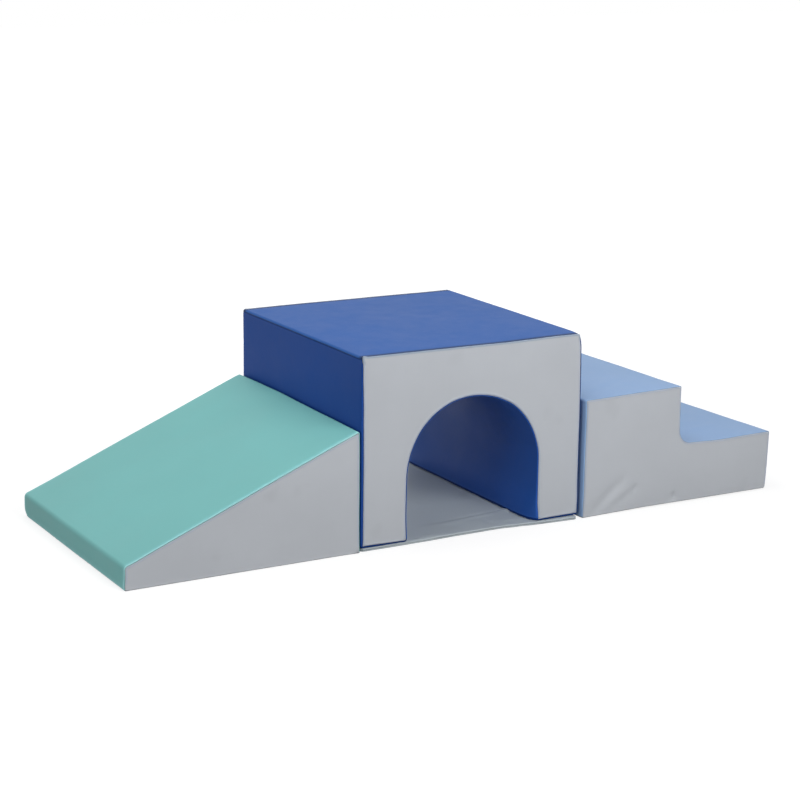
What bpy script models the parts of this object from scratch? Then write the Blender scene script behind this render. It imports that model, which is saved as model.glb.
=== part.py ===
"""A soft play foam climber, in metres, +Z up, with the ramp at -X and the steps at +X.

Three covered foam blocks stand side by side: a ramp, a tunnel on a floor mat, and two steps.
The origin is on the floor, under the middle of the whole row.
"""
import math
from collections import namedtuple

import bmesh
import bpy
from mathutils import Vector

# Whole blocks
BLOCK_DEPTH = 0.533
TUNNEL_LENGTH = 0.508
TUNNEL_HEIGHT = 0.381
LEG_WIDTH = 0.0995
ARCH_HEIGHT = 0.284
SLIDE_LENGTH = 0.488
SLIDE_HEIGHT = 0.253
TOE_HEIGHT = 0.045
STEPS_LENGTH = 0.480
STEPS_HEIGHT = 0.253
LOWER_STEP_HEIGHT = 0.128
UPPER_TREAD = 0.242
STEPS_FORWARD = 0.010

# Floor mat under the tunnel
MAT_SHORTFALL = 0.008
MAT_THICKNESS = 0.0065
MAT_CORNER = 0.006
MAT_EDGE_ROUND = 0.0018

# Rounded folds, seen from the front
BLOCK_CORNER = 0.006
FOOT_CORNER = 0.005
TOE_FOLD = 0.014
STEP_HOLLOW = 0.018
STEP_NOSE = 0.009
FACE_ROUND = 0.0035
FOOT_ROUND = 0.0030
ROUND_SEGMENTS = 3
CHORD_ERROR = 0.0003

# Vinyl skins
SKIN = 0.001
RIM = 0.005
FOOT_RIM = 0.004
CLEARANCE = 0.0003

# Hook and loop strips between the blocks, and patches under the tunnel's feet
HOOK_THICKNESS = 0.0022
LOOP_THICKNESS = 0.0025
STRIP_HEIGHT = 0.050
STRIP_END_MARGIN = 0.055
LOW_STRIP_CENTRE = 0.060
HIGH_STRIP_DROP = 0.063
PATCH_END_MARGIN = 0.0665
PATCH_EDGE_MARGIN = 0.01275
PATCH_TAPE_MARGIN = 0.0034

# Zips on the undersides
ZIP_END_MARGIN = 0.0365
SLOT_WIDTH = 0.010
TAPE_WIDTH = 0.011
TAPE_THICKNESS = 0.0005
TEETH_WIDTH = 0.002
TEETH_HEIGHT = 0.002
TEETH_SPACING = 0.0012
STOP_LENGTH = 0.003
SLIDER_LENGTH = 0.012
SLIDER_WIDTH = 0.0092
SLIDER_PLATE = 0.0008
SLIDER_POST = 0.0006
SLIDER_LIP = 0.0009

# How far a cutter runs past what it cuts
OVERRUN = 0.010
MERGE_DISTANCE = 0.00001

# Distances that follow
BLOCK_GAP = HOOK_THICKNESS + CLEARANCE + LOOP_THICKNESS
CORE_INSET = SKIN + CLEARANCE
ARCH_WIDTH = TUNNEL_LENGTH - 2 * LEG_WIDTH
MAT_LENGTH = TUNNEL_LENGTH - MAT_SHORTFALL
HIGH_STRIP_CENTRE = min(SLIDE_HEIGHT, STEPS_HEIGHT) - HIGH_STRIP_DROP
TUNNEL_BASE = MAT_THICKNESS + CLEARANCE
SEAM_HEIGHT = FOOT_RIM + CLEARANCE
ROW_LEFT = -BLOCK_GAP - SLIDE_LENGTH
ROW_RIGHT = TUNNEL_LENGTH + BLOCK_GAP + STEPS_LENGTH
ROW_FRONT = min(-STEPS_FORWARD, 0.0)
ROW_BACK = max(BLOCK_DEPTH - STEPS_FORWARD, BLOCK_DEPTH)
MIDDLE = Vector(((ROW_LEFT + ROW_RIGHT) / 2, (ROW_FRONT + ROW_BACK) / 2, 0.0))

Corner = namedtuple("Corner", "x z radius steps")
Place = namedtuple("Place", "unit parts cutters")


def srgb(red, green, blue):
    """A screen colour of 0 to 255 as the linear colour that a shader takes."""
    def linear(value):
        share = value / 255
        return share / 12.92 if share <= 0.04045 else ((share + 0.055) / 1.055) ** 2.4
    return (linear(red), linear(green), linear(blue), 1.0)


TEAL = srgb(126, 190, 187)
ROYAL_BLUE = srgb(58, 92, 168)
SKY_BLUE = srgb(146, 172, 214)
BLOCK_GREY = srgb(176, 180, 184)
MAT_GREY = srgb(132, 140, 147)
FOAM_WHITE = srgb(236, 232, 214)
TAPE_BLACK = srgb(34, 35, 38)
HOOK_GREY = srgb(92, 94, 98)
LOOP_GREY = srgb(120, 122, 126)
ZINC = srgb(150, 152, 156)
VINYL_ROUGHNESS = 0.42
CLOTH_ROUGHNESS = 0.9
METAL_ROUGHNESS = 0.35


def paint(obj, colour, roughness, metallic=0.0):
    material = bpy.data.materials.new(obj.name)
    material.use_nodes = True
    shader = material.node_tree.nodes["Principled BSDF"]
    shader.inputs["Base Color"].default_value = colour
    shader.inputs["Roughness"].default_value = roughness
    shader.inputs["Metallic"].default_value = metallic
    material.diffuse_color = colour
    obj.data.materials.clear()
    obj.data.materials.append(material)
    return obj


# Outlines: closed, counter-clockwise, each corner with a radius

def corner(x, z, radius):
    """A corner whose arc keeps within CHORD_ERROR of a true quarter circle."""
    step = 2 * math.acos(1 - CHORD_ERROR / radius)
    return Corner(x, z, radius, max(3, math.ceil(math.pi / 2 / step)))


def around(corners):
    """Each corner with the directions that reach it and leave it."""
    for index, here in enumerate(corners):
        before = corners[index - 1]
        after = corners[(index + 1) % len(corners)]
        point = Vector((here.x, here.z))
        arriving = (point - Vector((before.x, before.z))).normalized()
        leaving = (Vector((after.x, after.z)) - point).normalized()
        yield here, point, arriving, leaving


def inset(corners, distance):
    """Every edge moved inwards: an outer corner's radius shrinks, and a hollow one's grows."""
    moved = []
    for here, point, arriving, leaving in around(corners):
        inwards_one = Vector((-arriving.y, arriving.x))
        inwards_two = Vector((-leaving.y, leaving.x))
        shift = (inwards_one + inwards_two) / (1 + inwards_one.dot(inwards_two)) * distance
        hollow = arriving.cross(leaving) < 0
        radius = here.radius + distance if hollow else max(here.radius - distance, 0.0)
        moved.append(Corner(point.x + shift.x, point.y + shift.y, radius, here.steps))
    return moved


def arcs(corners):
    """The points of each corner's arc, as one list for each corner."""
    found = []
    for here, point, arriving, leaving in around(corners):
        turn = math.atan2(arriving.cross(leaving), arriving.dot(leaving))
        side = math.copysign(1, turn)
        start = point - arriving * here.radius * math.tan(abs(turn) / 2)
        centre = start + Vector((-arriving.y, arriving.x)) * here.radius * side
        arm = start - centre
        points = []
        for step in range(here.steps + 1):
            angle = turn * step / here.steps
            points.append(centre + Vector((
                arm.x * math.cos(angle) - arm.y * math.sin(angle),
                arm.x * math.sin(angle) + arm.y * math.cos(angle))))
        found.append(points)
    return found


def whole(corners):
    """All the points of a closed outline."""
    return [point for arc in arcs(corners) for point in arc]


def band(corners, order, thickness):
    """A skin's section along the corners named in order, with its inner face concentric."""
    outside = arcs(corners)
    inside = arcs(inset(corners, thickness))
    outer = [point for index in order for point in outside[index]]
    inner = [point for index in order for point in inside[index]]
    return outer + inner[::-1]


def rectangle(left, low, right, high, radius):
    return [corner(left, low, radius), corner(right, low, radius),
            corner(right, high, radius), corner(left, high, radius)]


# Solids

def place(name, location, parts, cutters):
    """The empty that carries one block's pieces."""
    unit = bpy.data.objects.new(name, None)
    unit.location = location
    parts.objects.link(unit)
    return Place(unit, parts, cutters)


def settle(obj, at, cutter=False):
    """Hang an object on its block, and keep cutters apart."""
    obj.parent = at.unit
    (at.cutters if cutter else at.parts).objects.link(obj)
    if cutter:
        obj.hide_render = True
        obj.display_type = 'WIRE'
    return obj


def round_cap(mesh, height, radius):
    """Round the edge of the flat end at one height."""
    model = bmesh.new()
    model.from_mesh(mesh)
    edges = [edge for edge in model.edges
             if all(abs(vert.co.z - height) < MERGE_DISTANCE for vert in edge.verts)
             and not all(abs(abs(face.normal.z) - 1) < 0.01 for face in edge.link_faces)]
    bmesh.ops.bevel(model, geom=edges, offset=radius, segments=ROUND_SEGMENTS,
                    profile=0.5, affect='EDGES')
    model.to_mesh(mesh)
    model.free()


def slab(name, at, points, near, far, upright=True, near_round=0.0, far_round=0.0, cutter=False):
    """A filled outline drawn out from near to far: along +Y when upright, or else along +Z."""
    curve = bpy.data.curves.new(name, 'CURVE')
    curve.dimensions = '2D'
    curve.fill_mode = 'BOTH'
    curve.extrude = (far - near) / 2
    spline = curve.splines.new('POLY')
    spline.points.add(len(points) - 1)
    for target, point in zip(spline.points, points):
        target.co = (point[0], point[1], 0.0, 1.0)
    spline.use_cyclic_u = True
    guide = bpy.data.objects.new(name + "_outline", curve)
    at.cutters.objects.link(guide)
    bpy.context.view_layer.update()
    mesh = bpy.data.meshes.new_from_object(guide.evaluated_get(bpy.context.evaluated_depsgraph_get()))
    bpy.data.objects.remove(guide)
    weld(mesh)
    near_height = curve.extrude if upright else -curve.extrude
    if near_round:
        round_cap(mesh, near_height, near_round)
    if far_round:
        round_cap(mesh, -near_height, far_round)
    mesh.name = name
    obj = bpy.data.objects.new(name, mesh)
    middle = (near + far) / 2
    obj.location = (0.0, middle, 0.0) if upright else (0.0, 0.0, middle)
    obj.rotation_euler = (math.pi / 2 if upright else 0.0, 0.0, 0.0)
    return settle(obj, at, cutter)


def weld(mesh):
    model = bmesh.new()
    model.from_mesh(mesh)
    bmesh.ops.remove_doubles(model, verts=model.verts, dist=MERGE_DISTANCE)
    bmesh.ops.recalc_face_normals(model, faces=model.faces)
    model.to_mesh(mesh)
    model.free()


def boxes(name, at, spans, cutter=False):
    """One or more square-edged solids, each given by its low and high corners."""
    model = bmesh.new()
    for low, high in spans:
        made = bmesh.ops.create_cube(model, size=1.0)
        low, high = Vector(low), Vector(high)
        size = high - low
        for vert in made["verts"]:
            vert.co = Vector((vert.co.x * size.x, vert.co.y * size.y, vert.co.z * size.z)) + (low + high) / 2
    mesh = bpy.data.meshes.new(name)
    model.to_mesh(mesh)
    model.free()
    return settle(bpy.data.objects.new(name, mesh), at, cutter)


def cut(target, cutter):
    change = target.modifiers.new(cutter.name, 'BOOLEAN')
    change.operation = 'DIFFERENCE'
    change.solver = 'EXACT'
    change.object = cutter
    return target


def tray(name, at, corners, near, far, closed, edge_round, upright=True):
    """A sheet turned back along its whole rim; closed says which end the sheet is."""
    rounds = {closed + "_round": edge_round}
    inner_rounds = {closed + "_round": edge_round - SKIN}
    inner_near = near + SKIN if closed == "near" else near - OVERRUN
    inner_far = far - SKIN if closed == "far" else far + OVERRUN
    body = slab(name, at, whole(corners), near, far, upright, **rounds)
    hollow = slab(name + "_hollow", at, whole(inset(corners, SKIN)), inner_near, inner_far, upright,
                  cutter=True, **inner_rounds)
    return cut(body, hollow)


def face_pair(block, at, corners, colour):
    """The front and rear panels, alike, each with its rim turned back over the block."""
    front = tray(block + "_front_panel", at, corners, 0.0, RIM, "near", FACE_ROUND)
    rear = tray(block + "_rear_panel", at, corners, BLOCK_DEPTH - RIM, BLOCK_DEPTH, "far", FACE_ROUND)
    for panel in (front, rear):
        paint(panel, colour, VINYL_ROUGHNESS)
    return front, rear


def skin(name, at, points, colour):
    """A panel of constant section between the front and rear rims."""
    sheet = slab(name, at, points, RIM + CLEARANCE, BLOCK_DEPTH - RIM - CLEARANCE)
    return paint(sheet, colour, VINYL_ROUGHNESS)


def foam(name, at, points):
    core = slab(name, at, points, CORE_INSET, BLOCK_DEPTH - CORE_INSET,
                near_round=FACE_ROUND - CORE_INSET, far_round=FACE_ROUND - CORE_INSET)
    return paint(core, FOAM_WHITE, CLOTH_ROUGHNESS)


# Zips: two taped rows of teeth behind a slot, with a slider that runs between them

ZIP_FLOOR = SKIN + CLEARANCE
TEETH_TOP = ZIP_FLOOR + TEETH_HEIGHT
TEETH_INNER = TEETH_SPACING / 2
TEETH_OUTER = TEETH_INNER + TEETH_WIDTH
TAPE_OUTER = TEETH_OUTER + TAPE_WIDTH
TAPE_TOP = ZIP_FLOOR + TAPE_THICKNESS
SLIDER_LOW = ZIP_FLOOR - CLEARANCE - SLIDER_PLATE
SLIDER_HIGH = TEETH_TOP + CLEARANCE + SLIDER_PLATE
ZIP_NEAR = ZIP_END_MARGIN
ZIP_FAR = BLOCK_DEPTH - ZIP_END_MARGIN


def tape_outline(middle, side):
    """A tape's end, with its row of teeth along the inner edge, on one side of the zip's line."""
    half = [(TEETH_INNER, ZIP_FLOOR), (TAPE_OUTER, ZIP_FLOOR), (TAPE_OUTER, TAPE_TOP),
            (TEETH_OUTER, TAPE_TOP), (TEETH_OUTER, TEETH_TOP), (TEETH_INNER, TEETH_TOP)]
    return [(middle + side * x, z) for x, z in half]


def slider_outline(middle):
    """The slider's end: two plates on a thin post, the upper one with lips over the tapes."""
    plate = SLIDER_WIDTH / 2
    post = SLIDER_POST / 2
    lower_top = SLIDER_LOW + SLIDER_PLATE
    upper_low = SLIDER_HIGH - SLIDER_PLATE
    lip_low = TAPE_TOP + CLEARANCE
    half = [(plate, SLIDER_LOW), (plate, lower_top), (post, lower_top), (post, upper_low),
            (plate - SLIDER_LIP, upper_low), (plate - SLIDER_LIP, lip_low), (plate, lip_low),
            (plate, SLIDER_HIGH)]
    return [(middle + x, z) for x, z in half] + [(middle - x, z) for x, z in half[::-1]]


def zip_fastener(prefix, at, middle, panel, core):
    """A straight zip along Y under a block: its slot, its groove in the foam, two tapes, two stops and a slider."""
    slot = SLOT_WIDTH / 2
    cut(panel, boxes(prefix + "_slot", at, [
        ((middle - slot, ZIP_NEAR, -OVERRUN), (middle + slot, ZIP_FAR, SKIN + OVERRUN))], cutter=True))
    tape_room = TAPE_OUTER + CLEARANCE
    cut(core, boxes(prefix + "_tape_room", at, [
        ((middle - tape_room, ZIP_NEAR - CLEARANCE, -OVERRUN),
         (middle + tape_room, ZIP_FAR + CLEARANCE, TAPE_TOP + CLEARANCE))], cutter=True))
    cut(core, boxes(prefix + "_slider_room", at, [
        ((middle - slot, ZIP_NEAR - CLEARANCE, -OVERRUN),
         (middle + slot, ZIP_FAR + CLEARANCE, SLIDER_HIGH + CLEARANCE))], cutter=True))
    for side_name, side in (("left", -1), ("right", 1)):
        tape = slab(prefix + "_" + side_name + "_tape", at, tape_outline(middle, side), ZIP_NEAR, ZIP_FAR)
        paint(tape, TAPE_BLACK, CLOTH_ROUGHNESS)
    for stop_name, near in (("near", ZIP_NEAR), ("far", ZIP_FAR - STOP_LENGTH)):
        stop = boxes(prefix + "_" + stop_name + "_stop", at, [
            ((middle - TEETH_OUTER, near, TEETH_TOP + CLEARANCE),
             (middle + TEETH_OUTER, near + STOP_LENGTH, SLIDER_HIGH))])
        paint(stop, ZINC, METAL_ROUGHNESS, 1.0)
    slider_far = ZIP_FAR - STOP_LENGTH - CLEARANCE
    slider = slab(prefix + "_slider", at, slider_outline(middle), slider_far - SLIDER_LENGTH, slider_far)
    paint(slider, ZINC, METAL_ROUGHNESS, 1.0)


# Hook and loop

def strips(prefix, at, left, right, forward, lift, colour):
    """Two level strips across the depth of a block's end face."""
    near = STRIP_END_MARGIN + forward
    far = BLOCK_DEPTH - STRIP_END_MARGIN + forward
    for level, centre in (("low", LOW_STRIP_CENTRE), ("high", HIGH_STRIP_CENTRE)):
        low = centre - STRIP_HEIGHT / 2 - lift
        strip = boxes(prefix + "_strip_" + level, at, [((left, near, low), (right, far, low + STRIP_HEIGHT))])
        paint(strip, colour, CLOTH_ROUGHNESS)


def patches(prefix, at, low, high, colour):
    for number, span in enumerate(patch_spans(low, high), start=1):
        paint(boxes(prefix + "_" + str(number), at, [span]), colour, CLOTH_ROUGHNESS)


def patch_spans(low, high, grow=0.0):
    """The four patches under the tunnel's feet, a pair beside each zip."""
    inner = TAPE_OUTER + PATCH_TAPE_MARGIN - grow
    outer = LEG_WIDTH / 2 - PATCH_EDGE_MARGIN + grow
    near = PATCH_END_MARGIN - grow
    far = BLOCK_DEPTH - near
    spans = []
    for middle in (LEG_WIDTH / 2, TUNNEL_LENGTH - LEG_WIDTH / 2):
        spans.append(((middle - outer, near, low), (middle - inner, far, high)))
        spans.append(((middle + inner, near, low), (middle + outer, far, high)))
    return spans


# Blocks

def make_mat(at):
    """A thin padded sheet on the floor, flush with the tunnel's left and short of its right."""
    outline = rectangle(0.0, 0.0, MAT_LENGTH, BLOCK_DEPTH, MAT_CORNER)
    seam = SKIN + CLEARANCE
    top_low = MAT_THICKNESS - SKIN
    bottom = slab("mat_bottom_sheet", at, whole(outline), 0.0, SKIN, upright=False)
    paint(bottom, MAT_GREY, VINYL_ROUGHNESS)
    core = slab("mat_foam", at, whole(inset(outline, CORE_INSET)), seam, top_low - CLEARANCE, upright=False)
    paint(core, FOAM_WHITE, CLOTH_ROUGHNESS)
    top = slab("mat_top_sheet", at, whole(outline), seam, MAT_THICKNESS, upright=False,
               far_round=MAT_EDGE_ROUND)
    hollow = slab("mat_hollow", at, whole(inset(outline, SKIN)), seam - OVERRUN, top_low, upright=False,
                  far_round=MAT_EDGE_ROUND - SKIN, cutter=True)
    cut(top, hollow)
    windows = boxes("mat_patch_windows", at,
                    patch_spans(top_low - CLEARANCE / 2, MAT_THICKNESS + OVERRUN, CLEARANCE), cutter=True)
    cut(top, windows)
    paint(top, MAT_GREY, VINYL_ROUGHNESS)
    patches("mat_loop_patch", at, top_low, MAT_THICKNESS, LOOP_GREY)


def make_slide(at):
    """The ramp: one wrap over the toe, the slope and the upright end, between two grey sides."""
    outline = [corner(0.0, 0.0, FOOT_CORNER), corner(SLIDE_LENGTH, 0.0, FOOT_CORNER),
               corner(SLIDE_LENGTH, SLIDE_HEIGHT, BLOCK_CORNER), corner(0.0, TOE_HEIGHT, TOE_FOLD)]
    face_pair("slide", at, outline, BLOCK_GREY)
    skin("slide_top_wrap", at, band(outline, (1, 2, 3, 0), SKIN), TEAL)
    core = foam("slide_foam_core", at, whole(inset(outline, CORE_INSET)))
    base = skin("slide_base_panel", at, base_points(SLIDE_LENGTH), MAT_GREY)
    zip_fastener("slide_zip", at, SLIDE_LENGTH / 2, base, core)
    strips("slide_hook", at, SLIDE_LENGTH + CLEARANCE, SLIDE_LENGTH + HOOK_THICKNESS, 0.0, 0.0, HOOK_GREY)


def base_points(length):
    """A flat underside between the two corners that the wrap turns under."""
    left = FOOT_CORNER + CLEARANCE
    right = length - left
    return [(left, 0.0), (right, 0.0), (right, SKIN), (left, SKIN)]


def make_tunnel(at):
    """A foam block with an arched way through it from front to back."""
    arch_radius = ARCH_WIDTH / 2
    right_leg = TUNNEL_LENGTH - LEG_WIDTH
    outline = [corner(0.0, 0.0, FOOT_CORNER), corner(LEG_WIDTH, 0.0, FOOT_CORNER),
               corner(LEG_WIDTH, ARCH_HEIGHT, arch_radius), corner(right_leg, ARCH_HEIGHT, arch_radius),
               corner(right_leg, 0.0, FOOT_CORNER), corner(TUNNEL_LENGTH, 0.0, FOOT_CORNER),
               corner(TUNNEL_LENGTH, TUNNEL_HEIGHT, BLOCK_CORNER), corner(0.0, TUNNEL_HEIGHT, BLOCK_CORNER)]
    make_tunnel_faces(at, outline)
    core = foam("tunnel_foam_core", at, whole(inset(outline, CORE_INSET)))
    skin("tunnel_top_panel", at, band(outline, (6, 7), SKIN), ROYAL_BLUE)
    side_top = TUNNEL_HEIGHT - BLOCK_CORNER - CLEARANCE
    for name, left in (("tunnel_left_panel", 0.0), ("tunnel_right_panel", TUNNEL_LENGTH - SKIN)):
        skin(name, at, [(left, SEAM_HEIGHT), (left + SKIN, SEAM_HEIGHT), (left + SKIN, side_top),
                        (left, side_top)], ROYAL_BLUE)
    make_liner(at, outline)
    make_feet(at, core)
    strips("tunnel_left_loop", at, -LOOP_THICKNESS, -CLEARANCE, 0.0, TUNNEL_BASE, LOOP_GREY)
    strips("tunnel_right_loop", at, TUNNEL_LENGTH + CLEARANCE, TUNNEL_LENGTH + LOOP_THICKNESS,
           0.0, TUNNEL_BASE, LOOP_GREY)


def make_tunnel_faces(at, outline):
    """Front and rear panels, open at the arch and stopping above the blue feet."""
    outer = rectangle(0.0, 0.0, TUNNEL_LENGTH, TUNNEL_HEIGHT, BLOCK_CORNER)
    below = boxes("tunnel_face_foot_cut", at, [
        ((-OVERRUN, -OVERRUN, -OVERRUN), (TUNNEL_LENGTH + OVERRUN, BLOCK_DEPTH + OVERRUN, SEAM_HEIGHT))],
        cutter=True)
    growth = CORE_INSET
    hole = [Corner(LEG_WIDTH - growth, -OVERRUN, 0.0, 1),
            Corner(TUNNEL_LENGTH - LEG_WIDTH + growth, -OVERRUN, 0.0, 1),
            Corner(TUNNEL_LENGTH - LEG_WIDTH + growth, ARCH_HEIGHT + growth,
                   outline[3].radius + growth, outline[3].steps),
            Corner(LEG_WIDTH - growth, ARCH_HEIGHT + growth, outline[2].radius + growth, outline[2].steps)]
    arch = slab("tunnel_face_arch_cut", at, whole(hole), -OVERRUN, BLOCK_DEPTH + OVERRUN, cutter=True)
    for panel in face_pair("tunnel", at, outer, BLOCK_GREY):
        cut(panel, below)
        cut(panel, arch)


def make_liner(at, outline):
    """The blue lining of the arch, from one foot over the crown to the other."""
    inner = arcs(outline)[2] + arcs(outline)[3]
    outer = arcs(inset(outline, SKIN))[2] + arcs(inset(outline, SKIN))[3]
    right_leg = TUNNEL_LENGTH - LEG_WIDTH
    points = ([(LEG_WIDTH, SEAM_HEIGHT)] + [tuple(point) for point in inner] + [(right_leg, SEAM_HEIGHT)]
              + [(right_leg + SKIN, SEAM_HEIGHT)] + [tuple(point) for point in outer[::-1]]
              + [(LEG_WIDTH - SKIN, SEAM_HEIGHT)])
    liner = slab("tunnel_arch_liner", at, points, CLEARANCE, BLOCK_DEPTH - CLEARANCE)
    paint(liner, ROYAL_BLUE, VINYL_ROUGHNESS)


def make_feet(at, core):
    """Shallow blue trays under the legs, each with a zip and two hook patches."""
    windows = boxes("foot_patch_windows", at, patch_spans(-OVERRUN, SKIN + CLEARANCE / 2, CLEARANCE), cutter=True)
    for side, left in (("left", 0.0), ("right", TUNNEL_LENGTH - LEG_WIDTH)):
        shape = rectangle(left, 0.0, left + LEG_WIDTH, BLOCK_DEPTH, FACE_ROUND)
        foot = tray("tunnel_" + side + "_foot", at, shape, 0.0, FOOT_RIM, "near", FOOT_ROUND, upright=False)
        cut(foot, windows)
        paint(foot, ROYAL_BLUE, VINYL_ROUGHNESS)
        zip_fastener("tunnel_" + side + "_zip", at, left + LEG_WIDTH / 2, foot, core)
    patches("tunnel_hook_patch", at, 0.0, SKIN, HOOK_GREY)


def make_steps(at):
    """Two steps: one wrap over the treads, risers and ends, between two grey sides."""
    outline = [corner(0.0, 0.0, FOOT_CORNER), corner(STEPS_LENGTH, 0.0, FOOT_CORNER),
               corner(STEPS_LENGTH, LOWER_STEP_HEIGHT, STEP_NOSE),
               corner(UPPER_TREAD, LOWER_STEP_HEIGHT, STEP_HOLLOW),
               corner(UPPER_TREAD, STEPS_HEIGHT, STEP_NOSE), corner(0.0, STEPS_HEIGHT, BLOCK_CORNER)]
    face_pair("steps", at, outline, BLOCK_GREY)
    skin("steps_tread_wrap", at, band(outline, (1, 2, 3, 4, 5, 0), SKIN), SKY_BLUE)
    core = foam("steps_foam_core", at, whole(inset(outline, CORE_INSET)))
    base = skin("steps_base_panel", at, base_points(STEPS_LENGTH), MAT_GREY)
    zip_fastener("steps_zip", at, STEPS_LENGTH / 2, base, core)
    strips("steps_hook", at, -HOOK_THICKNESS, -CLEARANCE, STEPS_FORWARD, 0.0, HOOK_GREY)


def main():
    for obj in list(bpy.data.objects):
        bpy.data.objects.remove(obj)
    scene = bpy.context.scene
    scene.unit_settings.system = 'METRIC'
    parts = bpy.data.collections.new("foam_climber")
    cutters = bpy.data.collections.new("cutters")
    scene.collection.children.link(parts)
    scene.collection.children.link(cutters)
    make_mat(place("mat_unit", -MIDDLE, parts, cutters))
    make_tunnel(place("tunnel_unit", Vector((0.0, 0.0, TUNNEL_BASE)) - MIDDLE, parts, cutters))
    make_slide(place("slide_unit", Vector((ROW_LEFT, 0.0, 0.0)) - MIDDLE, parts, cutters))
    steps_corner = Vector((TUNNEL_LENGTH + BLOCK_GAP, -STEPS_FORWARD, 0.0))
    make_steps(place("steps_unit", steps_corner - MIDDLE, parts, cutters))


main()
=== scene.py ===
import math

import bmesh
import bpy
import numpy as np
from mathutils import Matrix, Vector, geometry, noise


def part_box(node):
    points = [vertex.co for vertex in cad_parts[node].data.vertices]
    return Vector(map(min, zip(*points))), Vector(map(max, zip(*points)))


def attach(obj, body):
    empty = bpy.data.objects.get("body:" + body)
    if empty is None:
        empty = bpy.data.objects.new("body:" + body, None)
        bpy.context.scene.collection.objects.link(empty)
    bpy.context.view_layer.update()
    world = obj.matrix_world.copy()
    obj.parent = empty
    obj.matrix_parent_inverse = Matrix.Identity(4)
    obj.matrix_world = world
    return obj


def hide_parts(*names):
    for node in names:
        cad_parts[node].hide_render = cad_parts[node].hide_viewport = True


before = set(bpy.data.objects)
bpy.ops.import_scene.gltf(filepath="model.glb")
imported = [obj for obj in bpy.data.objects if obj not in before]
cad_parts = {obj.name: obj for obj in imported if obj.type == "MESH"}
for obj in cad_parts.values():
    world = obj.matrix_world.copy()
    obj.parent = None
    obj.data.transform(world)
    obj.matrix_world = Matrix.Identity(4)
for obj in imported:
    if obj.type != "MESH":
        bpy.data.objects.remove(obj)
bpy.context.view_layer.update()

# noise_vector is drawn from a seed, which would otherwise be the time of the run
noise.seed_set(1)

# Sizes that the frame's boxes don't give, in metres
SKIN = 0.001
RAMP_HEIGHT = 0.253
TOE_HEIGHT = 0.045
LOWER_STEP_HEIGHT = 0.128
UPPER_TREAD = 0.242
SLOT_WIDTH = 0.0114
SLOT_END_MARGIN = 0.0365

# Rounded corners, seen from the front
BLOCK_CORNER = 0.005
FOOT_CORNER = 0.0055
SOLE_CORNER = 0.003
TOE_SOLE = 0.005
TOE_FOLD = 0.010
STEP_HOLLOW = 0.027
STEP_NOSE = 0.003
MAT_CORNER = 0.009
TAPE_CORNER = 0.003

# The fold over a block's front and rear edges: its radius, and its length round a quarter turn
QUARTER = math.pi / 2
FOLD = 0.0020
FOLD_TURN = QUARTER * FOLD

# Seams
GROOVE_DEPTH = 0.0007
GROOVE_REACH = 0.0013
RIDGE_PLACE = 0.0026
RIDGE_REACH = 0.0011
PUCKER_LENGTH = 0.011
PUCKER_REACH = 0.009
EXTRA_REACH = 0.004
DRIFT_LENGTH = 0.075

# Mesh steps
GRID = 0.009
FINE = 0.0009
ARC_STEP = 0.16
SEAM_ROWS = (0.0, 0.0004, 0.0009, 0.0016, 0.0025, 0.0038, 0.0056, 0.0085)
MERGE = 0.00025
LEAST_CORNER = 0.0003
SAME_POINT = 1e-7
TINY = 1e-18


def fade(distance, reach):
    """1 at no distance, falling off over a reach."""
    return math.exp(-distance / reach)


def hill(offset, width):
    return math.exp(-(offset / width) ** 2)


def above(value):
    return max(0.0, value)


def clamp(value):
    return min(1.0, max(0.0, value))


# Outlines

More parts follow.
